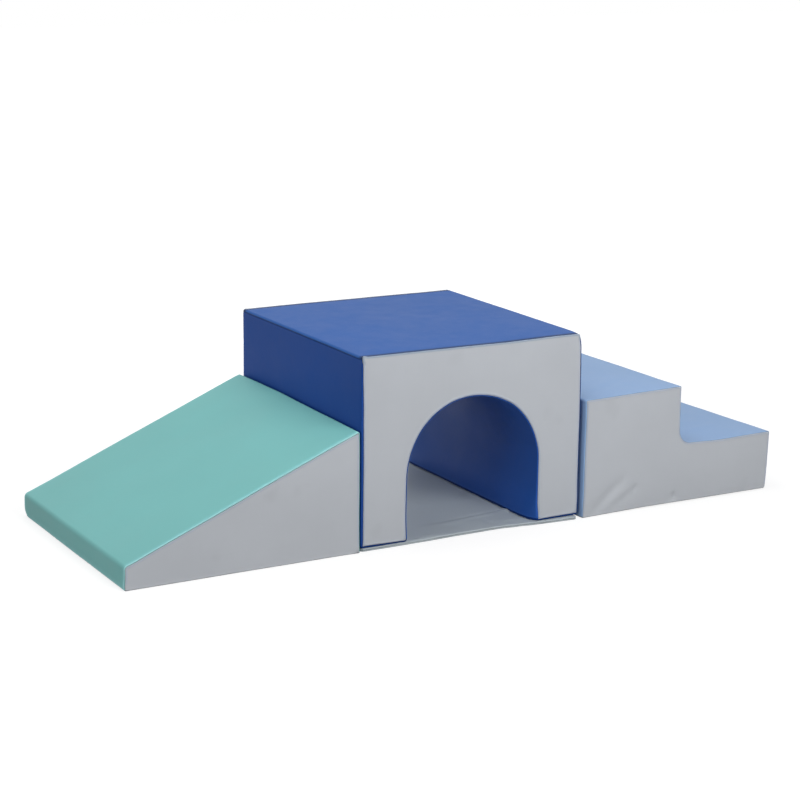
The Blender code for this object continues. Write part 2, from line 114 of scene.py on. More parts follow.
class Outline:
    """A closed outline with rounded corners, counter-clockwise, walked by its length."""

    def __init__(self, corners):
        points = [Vector(corner[:2]) for corner in corners]
        self.corners = corners
        turns = []
        for index, point in enumerate(points):
            radius = corners[index][2]
            arriving = (point - points[index - 1]).normalized()
            leaving = (points[(index + 1) % len(points)] - point).normalized()
            turn = math.atan2(arriving.cross(leaving), arriving.dot(leaving))
            reach = radius * math.tan(abs(turn) / 2)
            turns.append((point - arriving * reach, point + leaving * reach, arriving, leaving, turn, radius))
        self.pieces = []
        self.arc_start = []
        self.arc_end = []
        walked = 0.0
        for index, (start, stop, arriving, leaving, turn, radius) in enumerate(turns):
            self.arc_start.append(walked)
            self.pieces.append((walked, abs(turn) * radius, start, arriving, turn, radius))
            walked += abs(turn) * radius
            self.arc_end.append(walked)
            length = (turns[(index + 1) % len(turns)][0] - stop).length
            self.pieces.append((walked, length, stop, leaving, 0.0, 0.0))
            walked += length
        self.length = walked

    def piece(self, s):
        s %= self.length
        for found in reversed(self.pieces):
            if s >= found[0]:
                return found, s - found[0]
        return self.pieces[0], 0.0

    def at(self, s):
        """The point at s along the outline, and the direction that faces outwards there."""
        (_, _, point, heading, turn, radius), along = self.piece(s)
        if not turn:
            return point + heading * along, Vector((heading.y, -heading.x))
        left = Vector((-heading.y, heading.x))
        centre = point + left * math.copysign(radius, turn)
        spin = Matrix.Rotation(math.copysign(along / radius, turn), 2)
        heading = spin @ heading
        return centre + spin @ (point - centre), Vector((heading.y, -heading.x))

    def room(self, s):
        """How far inwards a point may move before a convex corner pinches it."""
        (_, _, _, _, turn, radius), _ = self.piece(s)
        return radius if turn > 0 else math.inf

    def stations(self, step, extra=()):
        values = list(extra)
        for start, length, _, _, turn, radius in self.pieces:
            if length < MERGE:
                continue
            size = min(step, max(radius * ARC_STEP, FINE)) if turn else step
            count = max(1, math.ceil(length / size))
            values += [start + length * k / count for k in range(count)]
        return thin_out(values, extra)

    def inset(self, stations, amount):
        """The points further in that match stations, with no crossing at small corners."""
        corners = []
        for (_, _, _, arriving, turn, _), (x, y, radius) in zip(self.pieces[::2], self.corners):
            leaving = Matrix.Rotation(turn, 2) @ arriving
            before = Vector((arriving.y, -arriving.x))
            after = Vector((leaving.y, -leaving.x))
            point = Vector((x, y)) - (before + after) * amount / (1 + before.dot(after))
            kept = max(radius - amount, LEAST_CORNER) if turn > 0 else radius + amount
            corners.append((point.x, point.y, kept))
        inner = Outline(corners)
        points = []
        for s in stations:
            found, along = self.piece(s)
            start, length = inner.pieces[self.pieces.index(found)][:2]
            points.append(inner.at(start + length * min(1.0, along / max(found[1], MERGE)))[0])
        return points

    def find(self, start, test):
        """The first s past start where test(point) holds."""
        s = start
        while not test(self.at(s)[0]):
            s += FINE / 4
        return s

    def around(self, keys):
        """A smooth function all round the outline from (corner, its arc's end, how far past that, value)."""
        ends = (self.arc_start, self.arc_end)
        places = [((ends[end][corner] + past) % self.length, value) for corner, end, past, value in keys]
        return blend_keys(places, self.length)


def thin_out(values, kept):
    """Sorted values with close neighbours dropped, except the ones to keep."""
    chosen = []
    for value in sorted(values, key=lambda item: (item not in kept, item)):
        if all(abs(value - other) > MERGE for other in chosen):
            chosen.append(value)
    return sorted(chosen)


def blend_keys(keys, period=None):
    """A smooth function through (s, value) pairs, which closes on itself over a period."""
    keys = sorted(keys)
    if period:
        keys = [(keys[-1][0] - period, keys[-1][1])] + keys + [(keys[0][0] + period, keys[0][1])]

    def value(s):
        if period:
            s = (s - keys[0][0]) % period + keys[0][0]
        if s <= keys[0][0]:
            return keys[0][1]
        for (s0, v0), (s1, v1) in zip(keys, keys[1:]):
            if s <= s1:
                share = (s - s0) / max(s1 - s0, TINY)
                share = share * share * (3 - 2 * share)
                return v0 + (v1 - v0) * share
        return keys[-1][1]
    return value


def rectangle(left, low, right, high, radius):
    return Outline([(left, low, radius), (right, low, radius), (right, high, radius), (left, high, radius)])


# Relief: how far the vinyl stands off its plain shape

class Feel:
    """How a panel swells, gathers along its seams and drifts from flat, all in metres."""

    def __init__(self, crown=0.0012, crown_reach=0.030, pucker=0.0004, drift=0.0006, ridge=0.0, extra=None):
        self.crown = crown
        self.crown_reach = crown_reach
        self.pucker = pucker
        self.drift = drift
        self.ridge = ridge
        self.extra = extra

    def height(self, point, anchor, distance):
        settled = 1 - fade(distance, self.crown_reach)
        near = fade(distance, PUCKER_REACH) * (1 - fade(distance, GROOVE_REACH))
        rise = self.crown * settled
        rise += self.pucker * noise.noise(anchor / PUCKER_LENGTH) * near
        rise += self.drift * noise.noise(point / DRIFT_LENGTH) * settled
        rise += self.ridge * hill(distance - RIDGE_PLACE, RIDGE_REACH)
        if self.extra:
            rise += self.extra(point) * (1 - fade(distance, EXTRA_REACH))
        if distance < GROOVE_REACH:
            rise -= GROOVE_DEPTH * (1 - distance / GROOVE_REACH) ** 2
        return rise


CREASE_START = 0.1
CREASE_RUN = 0.8


def folds_along(plane, lines):
    """Soft ridges, or valleys, on a plane: from a, b to a, b, then the height and the width."""
    folds = [(plane.place(*line[:2]), plane.place(*line[2:4]), *line[4:]) for line in lines]

    def extra(point):
        rise = 0.0
        for start, stop, height, width in folds:
            run = stop - start
            share = clamp((point - start).dot(run) / run.length_squared)
            away = (point - start - run * share).length
            rise += height * hill(away, width) * math.sin(math.pi * (CREASE_START + CREASE_RUN * share))
        return rise
    return extra


# The sides of a form: the axis that each faces along, the way inwards, and whether its faces are flipped
SIDES = {"front": (1, 1, False), "rear": (1, -1, True), "top": (2, -1, False), "bottom": (2, 1, True),
         "right": (0, -1, False), "left": (0, 1, True)}


class Plane:
    """One side at a level, where a and b run along the other two axes."""

    def __init__(self, side, level):
        self.axis, self.inwards, self.flipped = SIDES[side]
        self.level = level

    def place(self, a, b, depth=0.0):
        values = [a, b]
        values.insert(self.axis, self.level + self.inwards * depth)
        return Vector(values)

    def turn(self, normal):
        """The direction in space of one whose z faces out of the side."""
        values = [normal.x, normal.y]
        values.insert(self.axis, -self.inwards * normal.z)
        return Vector(values)


def fold_spot(outline, s, past, fold):
    """A point that lies past the start of a fold: its place in the plane, its depth and its normal."""
    point, normal = outline.at(s)
    turn = QUARTER * fold
    if past <= 0:
        return point + normal * (past - fold), 0.0, Vector((0.0, 0.0, 1.0))
    if past < turn:
        angle = past / fold
        spot = point + normal * fold * (math.sin(angle) - 1)
        slope = Vector((normal.x * math.sin(angle), normal.y * math.sin(angle), math.cos(angle)))
        return spot, fold * (1 - math.cos(angle)), slope
    return point, fold + past - turn, Vector((normal.x, normal.y, 0.0))


def as_array(points):
    return np.array([tuple(point) for point in points])


def loop_distance(points, loop):
    """Each point's distance to a closed loop, the nearest loop point, and whether it is inside."""
    steps = np.roll(loop, -1, axis=0) - loop
    lengths = np.maximum((steps ** 2).sum(1), TINY)
    nearest, index, inside = [], [], []
    for point in points:
        away = point - loop
        share = np.clip((away * steps).sum(1) / lengths, 0, 1)
        gaps = ((away - steps * share[:, None]) ** 2).sum(1)
        best = int(gaps.argmin())
        nearest.append(math.sqrt(gaps[best]))
        index.append(best)
        crossed = (loop[:, 1] > point[1]) != (loop[:, 1] + steps[:, 1] > point[1])
        rise = np.where(steps[:, 1] == 0, TINY, steps[:, 1])
        crossing = loop[:, 0] + (point[1] - loop[:, 1]) / rise * steps[:, 0]
        inside.append(bool((crossed & (point[0] < crossing)).sum() % 2))
    return np.array(nearest), index, np.array(inside)


def lattice(loop, grid, shift=0.5, stagger=0.0):
    """Points on a grid over a loop's box, where every second row may stand aside."""
    low, high = loop.min(0), loop.max(0)
    counts = np.ceil((high - low) / grid).astype(int)
    return np.array([low + (high - low) * np.array((i + stagger * (j % 2) + shift, j + 0.5)) / counts
                     for i in range(counts[0]) for j in range(counts[1])])


def triangulate(points, count):
    """Triangles through all points, inside the loop that the first count of them make."""
    found = geometry.delaunay_2d_cdt(points, [], [list(range(count))], 1, SAME_POINT)
    return found[0], found[2], found[3]


# Pieces

def new_object(name, data):
    obj = bpy.data.objects.new(name, data)
    bpy.context.scene.collection.objects.link(obj)
    return obj


def make_object(name, positions, faces, seam_distances=None):
    mesh = bpy.data.meshes.new(name)
    mesh.from_pydata([tuple(position) for position in positions], [], faces)
    mesh.update()
    mesh.shade_smooth()
    if seam_distances is not None:
        layer = mesh.attributes.new("seam", 'FLOAT', 'POINT')
        layer.data.foreach_set("value", np.array(seam_distances, np.float32))
    return new_object(name, mesh)


def dress(obj, look, body, node):
    """Give an object its material and body, and hide the CAD node that it stands for."""
    material, slot = look
    obj.data.materials.append(material)
    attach(obj, body)
    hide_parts(node)


def drop_loose(obj):
    model = bmesh.new()
    model.from_mesh(obj.data)
    loose = [vert for vert in model.verts if not vert.link_faces]
    bmesh.ops.delete(model, geom=loose, context='VERTS')
    model.to_mesh(obj.data)
    model.free()


def finish_cover(obj, look, body, node, rests_on, thickness=SKIN):
    """Give a panel its thickness, look and body, and hide the CAD node that it stands for."""
    drop_loose(obj)
    thicken = obj.modifiers.new("thickness", 'SOLIDIFY')
    thicken.thickness = thickness
    thicken.offset = -1.0
    dress(obj, look, body, node)


# A panel's inner points: a staggered grid, clear of the seam rows, which thin out in tight corners
FACE_SHIFT = 0.375
FACE_STAGGER = 0.25
FACE_CLEAR = 0.45
ROW_CLEAR = 0.85


def face_piece(name, plane, outline, reach, feel, warp, fold=FOLD, grid=GRID):
    """A panel that fills an outline in one plane and turns over its edges as far as its seam."""
    rim = [(s, *outline.at(s), reach(s)) for s in outline.stations(grid)]
    loop = [point + normal * (past - fold) for _, point, normal, past in rim]
    flat = list(loop)
    origin = [(s, past) for s, _, _, past in rim]
    for s, point, normal, past in rim:
        rows = max(1, math.ceil(past / FINE)) if past > FINE / 2 else 0
        for row in range(rows):
            level = past * row / rows
            flat.append(point + normal * (level - fold))
            origin.append((s, level))
    rings = []
    for s, point, normal, past in rim:
        for offset in SEAM_ROWS[1:]:
            level = min(past, 0.0) - offset
            if fold - level < outline.room(s):
                rings.append((point + normal * (level - fold), offset + above(past)))
    seam_loop = as_array(loop)
    gaps, _, inside = loop_distance(as_array(point for point, _ in rings), seam_loop)
    flat += [point for (point, wanted), gap, within in zip(rings, gaps, inside)
             if within and gap > ROW_CLEAR * wanted]
    fold_loop = as_array(point - normal * fold for _, point, normal, _ in rim)
    spots = lattice(seam_loop, grid, FACE_SHIFT, FACE_STAGGER)
    clear = np.ones(len(spots), bool)
    for edge in (seam_loop, fold_loop):
        gaps, _, inside = loop_distance(spots, edge)
        clear &= inside & (gaps > SEAM_ROWS[-1] + grid * FACE_CLEAR)
    flat += [Vector(spot) for spot in spots[clear]]
    verts, triangles, sources = triangulate(flat, len(loop))
    distances, nearest, _ = loop_distance(as_array(verts), seam_loop)
    positions = []
    for vert, source, distance, near in zip(verts, sources, distances, nearest):
        spot, depth, normal = vert, 0.0, Vector((0.0, 0.0, 1.0))
        if source and source[0] < len(origin) and origin[source[0]][1] > 0:
            spot, depth, normal = fold_spot(outline, *origin[source[0]], fold)
        here = plane.place(spot.x, spot.y, depth)
        anchor = plane.place(*seam_loop[near])
        positions.append(warp(here + plane.turn(normal) * feel.height(here, anchor, distance)))
    faces = [tuple(face)[::-1] if plane.flipped else tuple(face) for face in triangles]
    return make_object(name, positions, faces, distances)


class Block:
    """A block's outline drawn out from front to rear, with its seams near both ends."""

    def __init__(self, name, outline, front, rear, reach, warp):
        self.name = name
        self.body = name + "_unit"
        self.foam = name + "_foam_core"
        self.outline = outline
        self.front = Plane("front", front)
        self.rear = Plane("rear", rear)
        self.depth = rear - front
        self.reach = reach
        self.warp = warp

    def spot(self, s, w, across):
        """The point and normal at s round the outline and w back from the front seam."""
        past = self.reach(s) + w
        plane = self.front
        if past > FOLD_TURN + self.depth / 2 - FOLD:
            plane = self.rear
            past = self.reach(s) + across - w
        spot, depth, normal = fold_spot(self.outline, s, past, FOLD)
        return plane.place(spot.x, spot.y, depth), plane.turn(normal)

    def across(self, s):
        """The skin's length from the front seam to the rear one."""
        return 2 * FOLD_TURN + (self.depth - 2 * FOLD) - self.reach(s) - self.reach(s)

    def base_offset(self, corner):
        """What to add to x for the place along the outline, on the underside past a corner."""
        return self.outline.arc_end[corner] - self.outline.at(self.outline.arc_end[corner])[0].x


def wrap_piece(name, block, start, stop, feel, opening=None, end_share=1.0):
    """A panel that runs round part of a block's outline and from its front seam to its rear one."""
    outline = block.outline
    extra = [start + row for row in SEAM_ROWS] + [stop - row for row in SEAM_ROWS]
    if opening:
        along, deep, wide = opening
        extra += along
    around = [s + turn * outline.length for s in outline.stations(GRID) for turn in (-1, 0, 1)]
    stations = [s for s in thin_out(around + extra, extra) if start - MERGE < s < stop + MERGE]
    edge = SEAM_ROWS[-1]
    positions, distances, counts = [], [], None
    for s in stations:
        across = block.across(s)
        marks = [edge, across - edge]
        if opening:
            lead = block.front.level + FOLD - FOLD_TURN + block.reach(s)
            marks[1:1] = [y - lead for y in deep]
        counts = counts or [math.ceil((after - before) / GRID) for before, after in zip(marks, marks[1:])]
        line = list(SEAM_ROWS)
        for before, after, count in zip(marks, marks[1:], counts):
            line += [before + (after - before) * k / count for k in range(1, count + 1)]
        line += [across - row for row in SEAM_ROWS[-2::-1]]
        rows = len(line)
        for w in line:
            here, normal = block.spot(s, w, across)
            to_side = min(w, across - w)
            to_end = min(s - start, stop - s)
            if to_side <= to_end:
                anchor = block.spot(s, 0.0 if w < across / 2 else across, across)[0]
            else:
                anchor = block.spot(start if s - start < stop - s else stop, w, across)[0]
            here += normal * feel.height(here, anchor, above(min(to_side, to_end)))
            positions.append(block.warp(here))
            distances.append(above(min(to_side, to_end * end_share)))
    faces = []
    for i in range(len(stations) - 1):
        for j in range(rows - 1):
            corner = i * rows + j
            quad = (corner, corner + 1, corner + rows + 1, corner + rows)
            middle = sum((positions[k] for k in quad), Vector()) / 4
            if not opening or not (wide[0] < middle.x < wide[1] and deep[0] < middle.y < deep[1]):
                faces.append(quad)
    return make_object(name, positions, faces, distances)


# Materials

class Nodes:
    """A node tree being put together. An input takes a constant or another node's output."""

    def __init__(self, tree):
        self.tree = tree

    def feed(self, socket, value):
        if isinstance(value, bpy.types.NodeSocket):
            self.tree.links.new(value, socket)
        else:
            socket.default_value = value

    def add(self, kind, output=None, inputs=(), **settings):
        """A node with its settings and inputs, which gives the output that is asked for."""
        node = self.tree.nodes.new("ShaderNode" + kind)
        for name, value in settings.items():
            setattr(node, name, value)
        for key, value in dict(inputs).items():
            self.feed(node.inputs[key], value)
        return node.outputs[output] if output else None

    def span(self, value, low, high, between=(0.0, 1.0)):
        """Low to high where a value runs between two limits."""
        return self.add("MapRange", "Result", {"Value": value, "From Min": between[0], "From Max": between[1],
                                               "To Min": low, "To Max": high})

    def math(self, operation, first, second):
        return self.add("Math", "Value", {0: first, 1: second}, operation=operation)


class Finish(Nodes):
    """A material whose shader is fed by nodes that start from the object's own coordinates."""

    def __init__(self, name):
        self.material = bpy.data.materials.new(name)
        self.material.use_nodes = True
        super().__init__(self.material.node_tree)
        self.place = self.add("TexCoord", "Object")

    def stretched(self, scale):
        return self.add("Mapping", "Vector", {"Scale": scale, "Vector": self.place})

    def height(self):
        return self.add("SeparateXYZ", "Z", {"Vector": self.place})

    def noise(self, scale, detail=2.0, roughness=0.5, place=None):
        return self.add("TexNoise", "Fac", {"Scale": scale, "Detail": detail, "Roughness": roughness,
                                            "Vector": place or self.place})

    def cells(self, scale, **settings):
        return self.add("TexVoronoi", "Distance", {"Scale": scale, "Vector": self.place}, **settings)

    def mix(self, share, first, second):
        """A colour between two others. A mix node's colours are its inputs 6 and 7 and its output 2."""
        return self.add("Mix", 2, {0: share, 6: first, 7: second}, data_type='RGBA')

    def bump(self, height, distance, strength, under=None):
        inputs = {"Height": height, "Distance": distance, "Strength": strength}
        if under:
            inputs["Normal"] = under
        return self.add("Bump", "Normal", inputs)

    def look(self, slot, colour, roughness, normal, constants=()):
        """Feeds the shader, and pairs the material with its slot."""
        shader = self.tree.nodes["Principled BSDF"]
        inputs = {"Base Color": colour, "Roughness": roughness, "Normal": normal}
        inputs.update(constants)
        for name, value in inputs.items():
            self.feed(shader.inputs[name], value)
        return self.material, slot


def srgb(red, green, blue):
    """A screen colour of 0 to 255 as the linear colour that a shader takes."""
    def linear(value):
        share = value / 255
        return share / 12.92 if share <= 0.04045 else ((share + 0.055) / 1.055) ** 2.4
    return (linear(red), linear(green), linear(blue), 1.0)


def shade(colour, factor):
    return tuple(channel * factor for channel in colour[:3]) + (1.0,)


# The vinyl's noises: scale, detail and roughness
BROAD = (4.0, 3.0)
CLOUD = (32.0, 4.0, 0.6)
STREAK = (9.0, 3.0, 0.6)
SMUDGE = (11.0, 2.0, 0.4)
WEAR_AND_HIGHLIGHT = (90.0, 3.0)
FINE_GRAIN = (2600.0, 3.0)
WAVES = (60.0, 3.0)

# Its bumps: depth and strength
CELL_SCALE = 720.0
CELL_BUMP = (0.00025, 0.35)
FINE_BUMP = (0.0001, 0.2)
WAVE_BUMP = (0.0006, 0.25)

# How much each tone differs from the colour, and how strongly the patches count
BROAD_TONES = (0.965, 1.03)
PATCH_TONE = 1.5
SMUDGE_TONE = 0.55
PATCHINESS = 0.05
CLOUD_SHARE = 0.35
STREAK_SHARE = 0.25
GLOSS_SPREAD = 0.05

# What part of a noise's values makes its whole range
NOISE_MIDDLE = (0.3, 0.7)
CLOUD_MIDDLE = (0.25, 0.75)
SMUDGE_PEAKS = (0.66, 0.78)
BREAKUP_PEAKS = (0.35, 0.7)
GLOSS_RANGE = (0.6, 1.4)

# Where the seams show, and where light and shade are painted near them, by distance from them and by height,
# in metres
SEAM_CORE = 0.4
SEAM_SHARE = 0.9
WEAR_AND_HIGHLIGHT_FALL = (0.0022, 0.0120)
PAINTED_EDGE_RISE = (0.0004, 0.0010)
PAINTED_EDGE_FALL = (0.0026, 0.0052)
PAINTED_EDGE_START = 0.006
BROW_SHADE_FALL = (0.0034, 0.0066)
BROW_SHADE_HEIGHT = (0.372, 0.378)

UP_STREAKS = (18.0, 18.0, 1.0)
SIDE_STREAKS = (1.0, 1.0, 20.0)


def vinyl(name, colour, slot, roughness=0.46, specular=0.22, smudge=0.0, deep=0.7, worn_and_lit=None, rim=None,
          line=0.0017, painted_edge_from=None, painted_brow_shade=None):
    """Coated cloth: a fine grain, a faint knit under it, and a darker line along each seam, which on the
    tunnel's top is widened into painted shade; near the seams, rubbed paler patches and painted highlight on
    folds, a painted band where each fold turns (highlight on most colours, a bluish shade on the grey), and
    painted shade below the tunnel's top seam.
    """
    finish = Finish(name)
    seam = finish.add("Attribute", "Fac", attribute_name="seam")
    broad = finish.noise(*BROAD)
    cloud = finish.noise(*CLOUD)
    tones = [shade(colour, tone) for tone in BROAD_TONES]
    toned = finish.mix(finish.span(broad, 0.0, 1.0, NOISE_MIDDLE), *tones)
    patchy = finish.span(cloud, -CLOUD_SHARE, CLOUD_SHARE, CLOUD_MIDDLE)
    streaks = [finish.span(finish.noise(*STREAK, finish.stretched(scale)), -STREAK_SHARE, STREAK_SHARE,
                           CLOUD_MIDDLE) for scale in (UP_STREAKS, SIDE_STREAKS)]
    patchy = finish.math('ADD', patchy, finish.math('ADD', *streaks))
    patchy = finish.math('MULTIPLY', finish.span(patchy, 0.0, 1.0, (-1.0, 1.0)), PATCHINESS)
    toned = finish.mix(patchy, toned, shade(colour, PATCH_TONE))
    if smudge:
        spots = finish.span(finish.noise(*SMUDGE), 0.0, smudge, SMUDGE_PEAKS)
        toned = finish.mix(spots, toned, shade(colour, SMUDGE_TONE))
    # Near the seams the colour turns paler in patches: rubbing, and on the teal also a painted highlight
    # where its folds catch the light.
    wear_and_highlight = finish.math('MULTIPLY', finish.span(seam, 1.0, 0.0, WEAR_AND_HIGHLIGHT_FALL),
                       finish.span(finish.noise(*WEAR_AND_HIGHLIGHT), 0.5, 1.0, BREAKUP_PEAKS))
    toned = finish.mix(wear_and_highlight, toned, worn_and_lit or colour)
    # The rim colour is painted light and shade where each fold turns: a painted highlight on the teal, the
    # sky blue and the liner, a painted bluish shade on the grey, kept above a given height where one is set.
    if rim:
        edge = finish.math('MULTIPLY', finish.span(seam, 0.0, 1.0, PAINTED_EDGE_RISE),
                           finish.span(seam, 1.0, 0.0, PAINTED_EDGE_FALL))
        if painted_edge_from:
            heights = (painted_edge_from, painted_edge_from + PAINTED_EDGE_START)
            edge = finish.math('MULTIPLY', edge, finish.span(finish.height(), 0.0, 1.0, heights))
        toned = finish.mix(edge, toned, rim)
    # Painted shade on the grey face just below the tunnel's top seam, as if under its overhang.
    if painted_brow_shade:
        shaded = finish.math('MULTIPLY', finish.span(seam, 1.0, 0.0, BROW_SHADE_FALL),
                             finish.span(finish.height(), 0.0, 1.0, BROW_SHADE_HEIGHT))
        toned = finish.mix(shaded, toned, painted_brow_shade)
    # A darker line along each seam; where it is made wide, as on the tunnel's top, it is painted shade.
    seam_line = finish.span(seam, SEAM_SHARE, 0.0, (SEAM_CORE * line, line))
    toned = finish.mix(seam_line, toned, shade(colour, deep))
    gloss = finish.span(finish.math('ADD', broad, cloud), roughness - GLOSS_SPREAD, roughness + GLOSS_SPREAD,
                        GLOSS_RANGE)
    grain = finish.bump(finish.cells(CELL_SCALE, feature='SMOOTH_F1'), *CELL_BUMP)
    fine = finish.bump(finish.noise(*FINE_GRAIN), *FINE_BUMP, grain)
    waves = finish.bump(finish.noise(*WAVES), *WAVE_BUMP, fine)
    return finish.look(slot, toned, gloss, waves, {"Specular IOR Level": specular})


def foam_look(name, colour):
    finish = Finish(name)
    cells = finish.cells(900.0)
    toned = finish.mix(finish.span(cells, 0.0, 1.0, (0.1, 0.6)), shade(colour, 0.72), colour)
    toned = finish.mix(finish.span(finish.noise(8.0, 3.0), 0.0, 0.3, (0.4, 0.7)), toned, shade(colour, 0.86))
    return finish.look(name, toned, finish.span(finish.noise(60.0), 0.85, 0.98),
                       finish.bump(cells, distance=0.0006, strength=0.6))


def tape_look(name, colour, fuzziness, depth):
    """Hook and loop tape, or a zip's woven tape: fine rows of thread, and a finer or coarser pile."""
    finish = Finish(name)
    rows = finish.add("TexWave", "Fac", {"Scale": 420.0, "Distortion": 0.6, "Vector": finish.place})
    fuzz = finish.noise(fuzziness, detail=4.0, roughness=0.7)
    both = finish.math('ADD', finish.span(rows, 0.0, 0.5), finish.span(fuzz, 0.0, 1.0, NOISE_MIDDLE))
    toned = finish.mix(finish.span(both, 0.0, 1.0, (0.2, 1.3)), shade(colour, 0.55), shade(colour, 1.25))
    toned = finish.mix(finish.span(finish.noise(25.0, 3.0), 0.0, 0.35, BREAKUP_PEAKS), toned, shade(colour, 0.8))
    return finish.look(name, toned, finish.span(fuzz, 0.8, 0.95), finish.bump(both, depth, 0.7),
                       {"Specular IOR Level": 0.2})


def zinc_look(name, colour):
    finish = Finish(name)
    marks = finish.noise(300.0, 4.0, 0.6, finish.stretched((1.0, 6.0, 1.0)))
    toned = finish.mix(finish.span(marks, 0.0, 1.0, NOISE_MIDDLE), shade(colour, 0.8), shade(colour, 1.15))
    return finish.look(name, toned, finish.span(marks, 0.26, 0.42, NOISE_MIDDLE),
                       finish.bump(marks, distance=0.0001, strength=0.3), {"Metallic": 1.0})


# The royal blue for the tunnel's sides is darkened a little as painted shade.
SHADED_ROYAL_BLUE = srgb(36, 75, 150)
BLOCK_GREY = srgb(186, 190, 196)
MAT_GREY = srgb(175, 184, 189)
# A painted bluish shade for the grey where its folds turn
GREY_PAINTED_EDGE_SHADE = srgb(176, 184, 198)

royal_vinyl_painted_shade = vinyl("royal_blue_vinyl", SHADED_ROYAL_BLUE, "royal_blue_vinyl", specular=0.05, deep=0.6)
# The liner's copy of the royal blue is lighter as painted light for the arch's inside, and its rim colour is
# a painted highlight kept off the floor.
liner_vinyl_painted_light = vinyl("royal_blue_liner_vinyl", srgb(38, 83, 160), "royal_blue_vinyl", specular=0.17, deep=0.6,
                    rim=srgb(50, 98, 186), painted_edge_from=0.012)
# The top's wide, deep seam line is painted shade along its front and rear edges.
top_vinyl_painted_shade = vinyl("royal_blue_top_vinyl", srgb(44, 90, 160), "royal_blue_vinyl", specular=0.07, deep=0.25,
                  line=0.0150)
# The soles' copy is darker again as painted shade in the gap under the feet.
sole_vinyl_painted_shade = vinyl("royal_blue_sole_vinyl", shade(SHADED_ROYAL_BLUE, 0.7), "royal_blue_vinyl", specular=0.05,
                   deep=0.6)
# The teal's paler colour near the seams is rubbing and painted highlight; its edge colour is a painted
# highlight where each fold turns.
teal_vinyl = vinyl("teal_vinyl", srgb(122, 187, 185), "teal_vinyl", specular=0.10, deep=0.85,
                   worn_and_lit=srgb(141, 206, 208), rim=srgb(166, 219, 222))
# The sky blue's rim colour is a painted highlight where each fold turns.
sky_vinyl = vinyl("sky_blue_vinyl", srgb(139, 169, 208), "sky_blue_vinyl", specular=0.15, deep=0.85,
                  rim=srgb(150, 180, 218))
grey_vinyl = vinyl("grey_vinyl", BLOCK_GREY, "grey_vinyl", smudge=0.16, deep=0.86, rim=GREY_PAINTED_EDGE_SHADE,
                   painted_edge_from=0.010)
# The tunnel's grey also carries a band of painted shade just below its top seam.
tunnel_grey_vinyl = vinyl("tunnel_grey_vinyl", BLOCK_GREY, "grey_vinyl", smudge=0.16, deep=0.86, rim=GREY_PAINTED_EDGE_SHADE,
                          painted_edge_from=0.010, painted_brow_shade=srgb(152, 165, 181))
mat_vinyl = vinyl("mat_vinyl", MAT_GREY, "mat_vinyl", smudge=0.2, deep=0.92)
base_vinyl = vinyl("base_vinyl", MAT_GREY, "base_vinyl", roughness=0.6, smudge=0.3)
foam_finish = foam_look("foam", srgb(236, 232, 214))
zip_tape_finish = tape_look("zip_tape", srgb(34, 35, 38), fuzziness=900.0, depth=0.0002)
hook_finish = tape_look("hook_tape", srgb(92, 94, 98), fuzziness=1500.0, depth=0.0006)
loop_finish = tape_look("loop_tape", srgb(120, 122, 126), fuzziness=1500.0, depth=0.0006)
zinc_finish = zinc_look("zip_metal", srgb(150, 152, 156))


# Panels of a block

def span_of(*nodes):
    """The box round some CAD nodes."""
    lows, highs = zip(*(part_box(node) for node in nodes))
    return Vector(map(min, zip(*lows))), Vector(map(max, zip(*highs)))


FLOOR_GRIP = 0.03
WANDER_LENGTH = 0.16
BUMP_END = 9


def warp_by(drift, bumps=(), shifts=()):
    """Moves a whole block's skin: a slow drift, soft local bumps, and leans that grow along an axis."""
    def warp(point):
        moved = point.copy()
        lift = clamp(point.z / FLOOR_GRIP)
        wander = noise.noise_vector(point / WANDER_LENGTH)
        moved += Vector((wander.x, wander.y, wander.z * lift)) * drift
        for centre, reach, push in bumps:
            fall = sum((off / width) ** 2 for off, width in zip(point - centre, reach))
            if fall < BUMP_END:
                moved += push * math.exp(-fall)
        for shift in shifts:
            moved += shift(point)
        moved.z = above(moved.z)
        return moved
    return warp


def face_pair(block, look, feels, grid=GRID):
    """A block's front and rear panels."""
    outline = block.outline
    rim = [(*outline.at(s), block.reach(s)) for s in outline.stations(GRID)]
    loop = as_array(point + normal * (past - FOLD) for point, normal, past in rim)
    for side, plane, feel in zip(("_front_", "_rear_"), (block.front, block.rear), feels):
        name = block.name + side
        panel = face_piece(name + "vinyl", plane, outline, block.reach, feel, block.warp, grid=grid)
        finish_cover(panel, look, block.body, name + "panel", block.foam)


WRAP_SAMPLES = 40


def wrap(name, block, start, stop, feel, look, node, opening=None, end_share=1.0):
    """A panel that runs round a block; the size that it is cut to is worked out but not used."""
    panel = wrap_piece(name, block, start, stop, feel, opening, end_share)
    run = stop - start
    depths = [block.across(start + run * k / WRAP_SAMPLES) for k in range(WRAP_SAMPLES + 1)]
    area = run * sum(depths) / len(depths)
    if opening:
        along, deep, _ = opening
        area -= (along[1] - along[0]) * (deep[1] - deep[0])
    finish_cover(panel, look, block.body, node, block.foam)


def zip_opening(block, corner, middle):
    """Where a zip's slot lies: along the outline, front to rear, and left to right."""
    base = block.base_offset(corner)
    half = SLOT_WIDTH / 2
    return ((base + middle - half, base + middle + half),
            (block.front.level + SLOT_END_MARGIN, block.rear.level - SLOT_END_MARGIN),
            (middle - half, middle + half))


# Foam, a little inside the covers, with a trench over each zip
FOAM_INSET = 0.0036
FOAM_ROUND = 0.004
FOAM_BEND = 0.3 * FOAM_ROUND
FOAM_GRID = 0.03
TRENCH_HALF = 0.0145
TRENCH_HEIGHT = 0.0030
TRENCH_SLOPE = 0.0015
FOAM_SINK = 0.0016


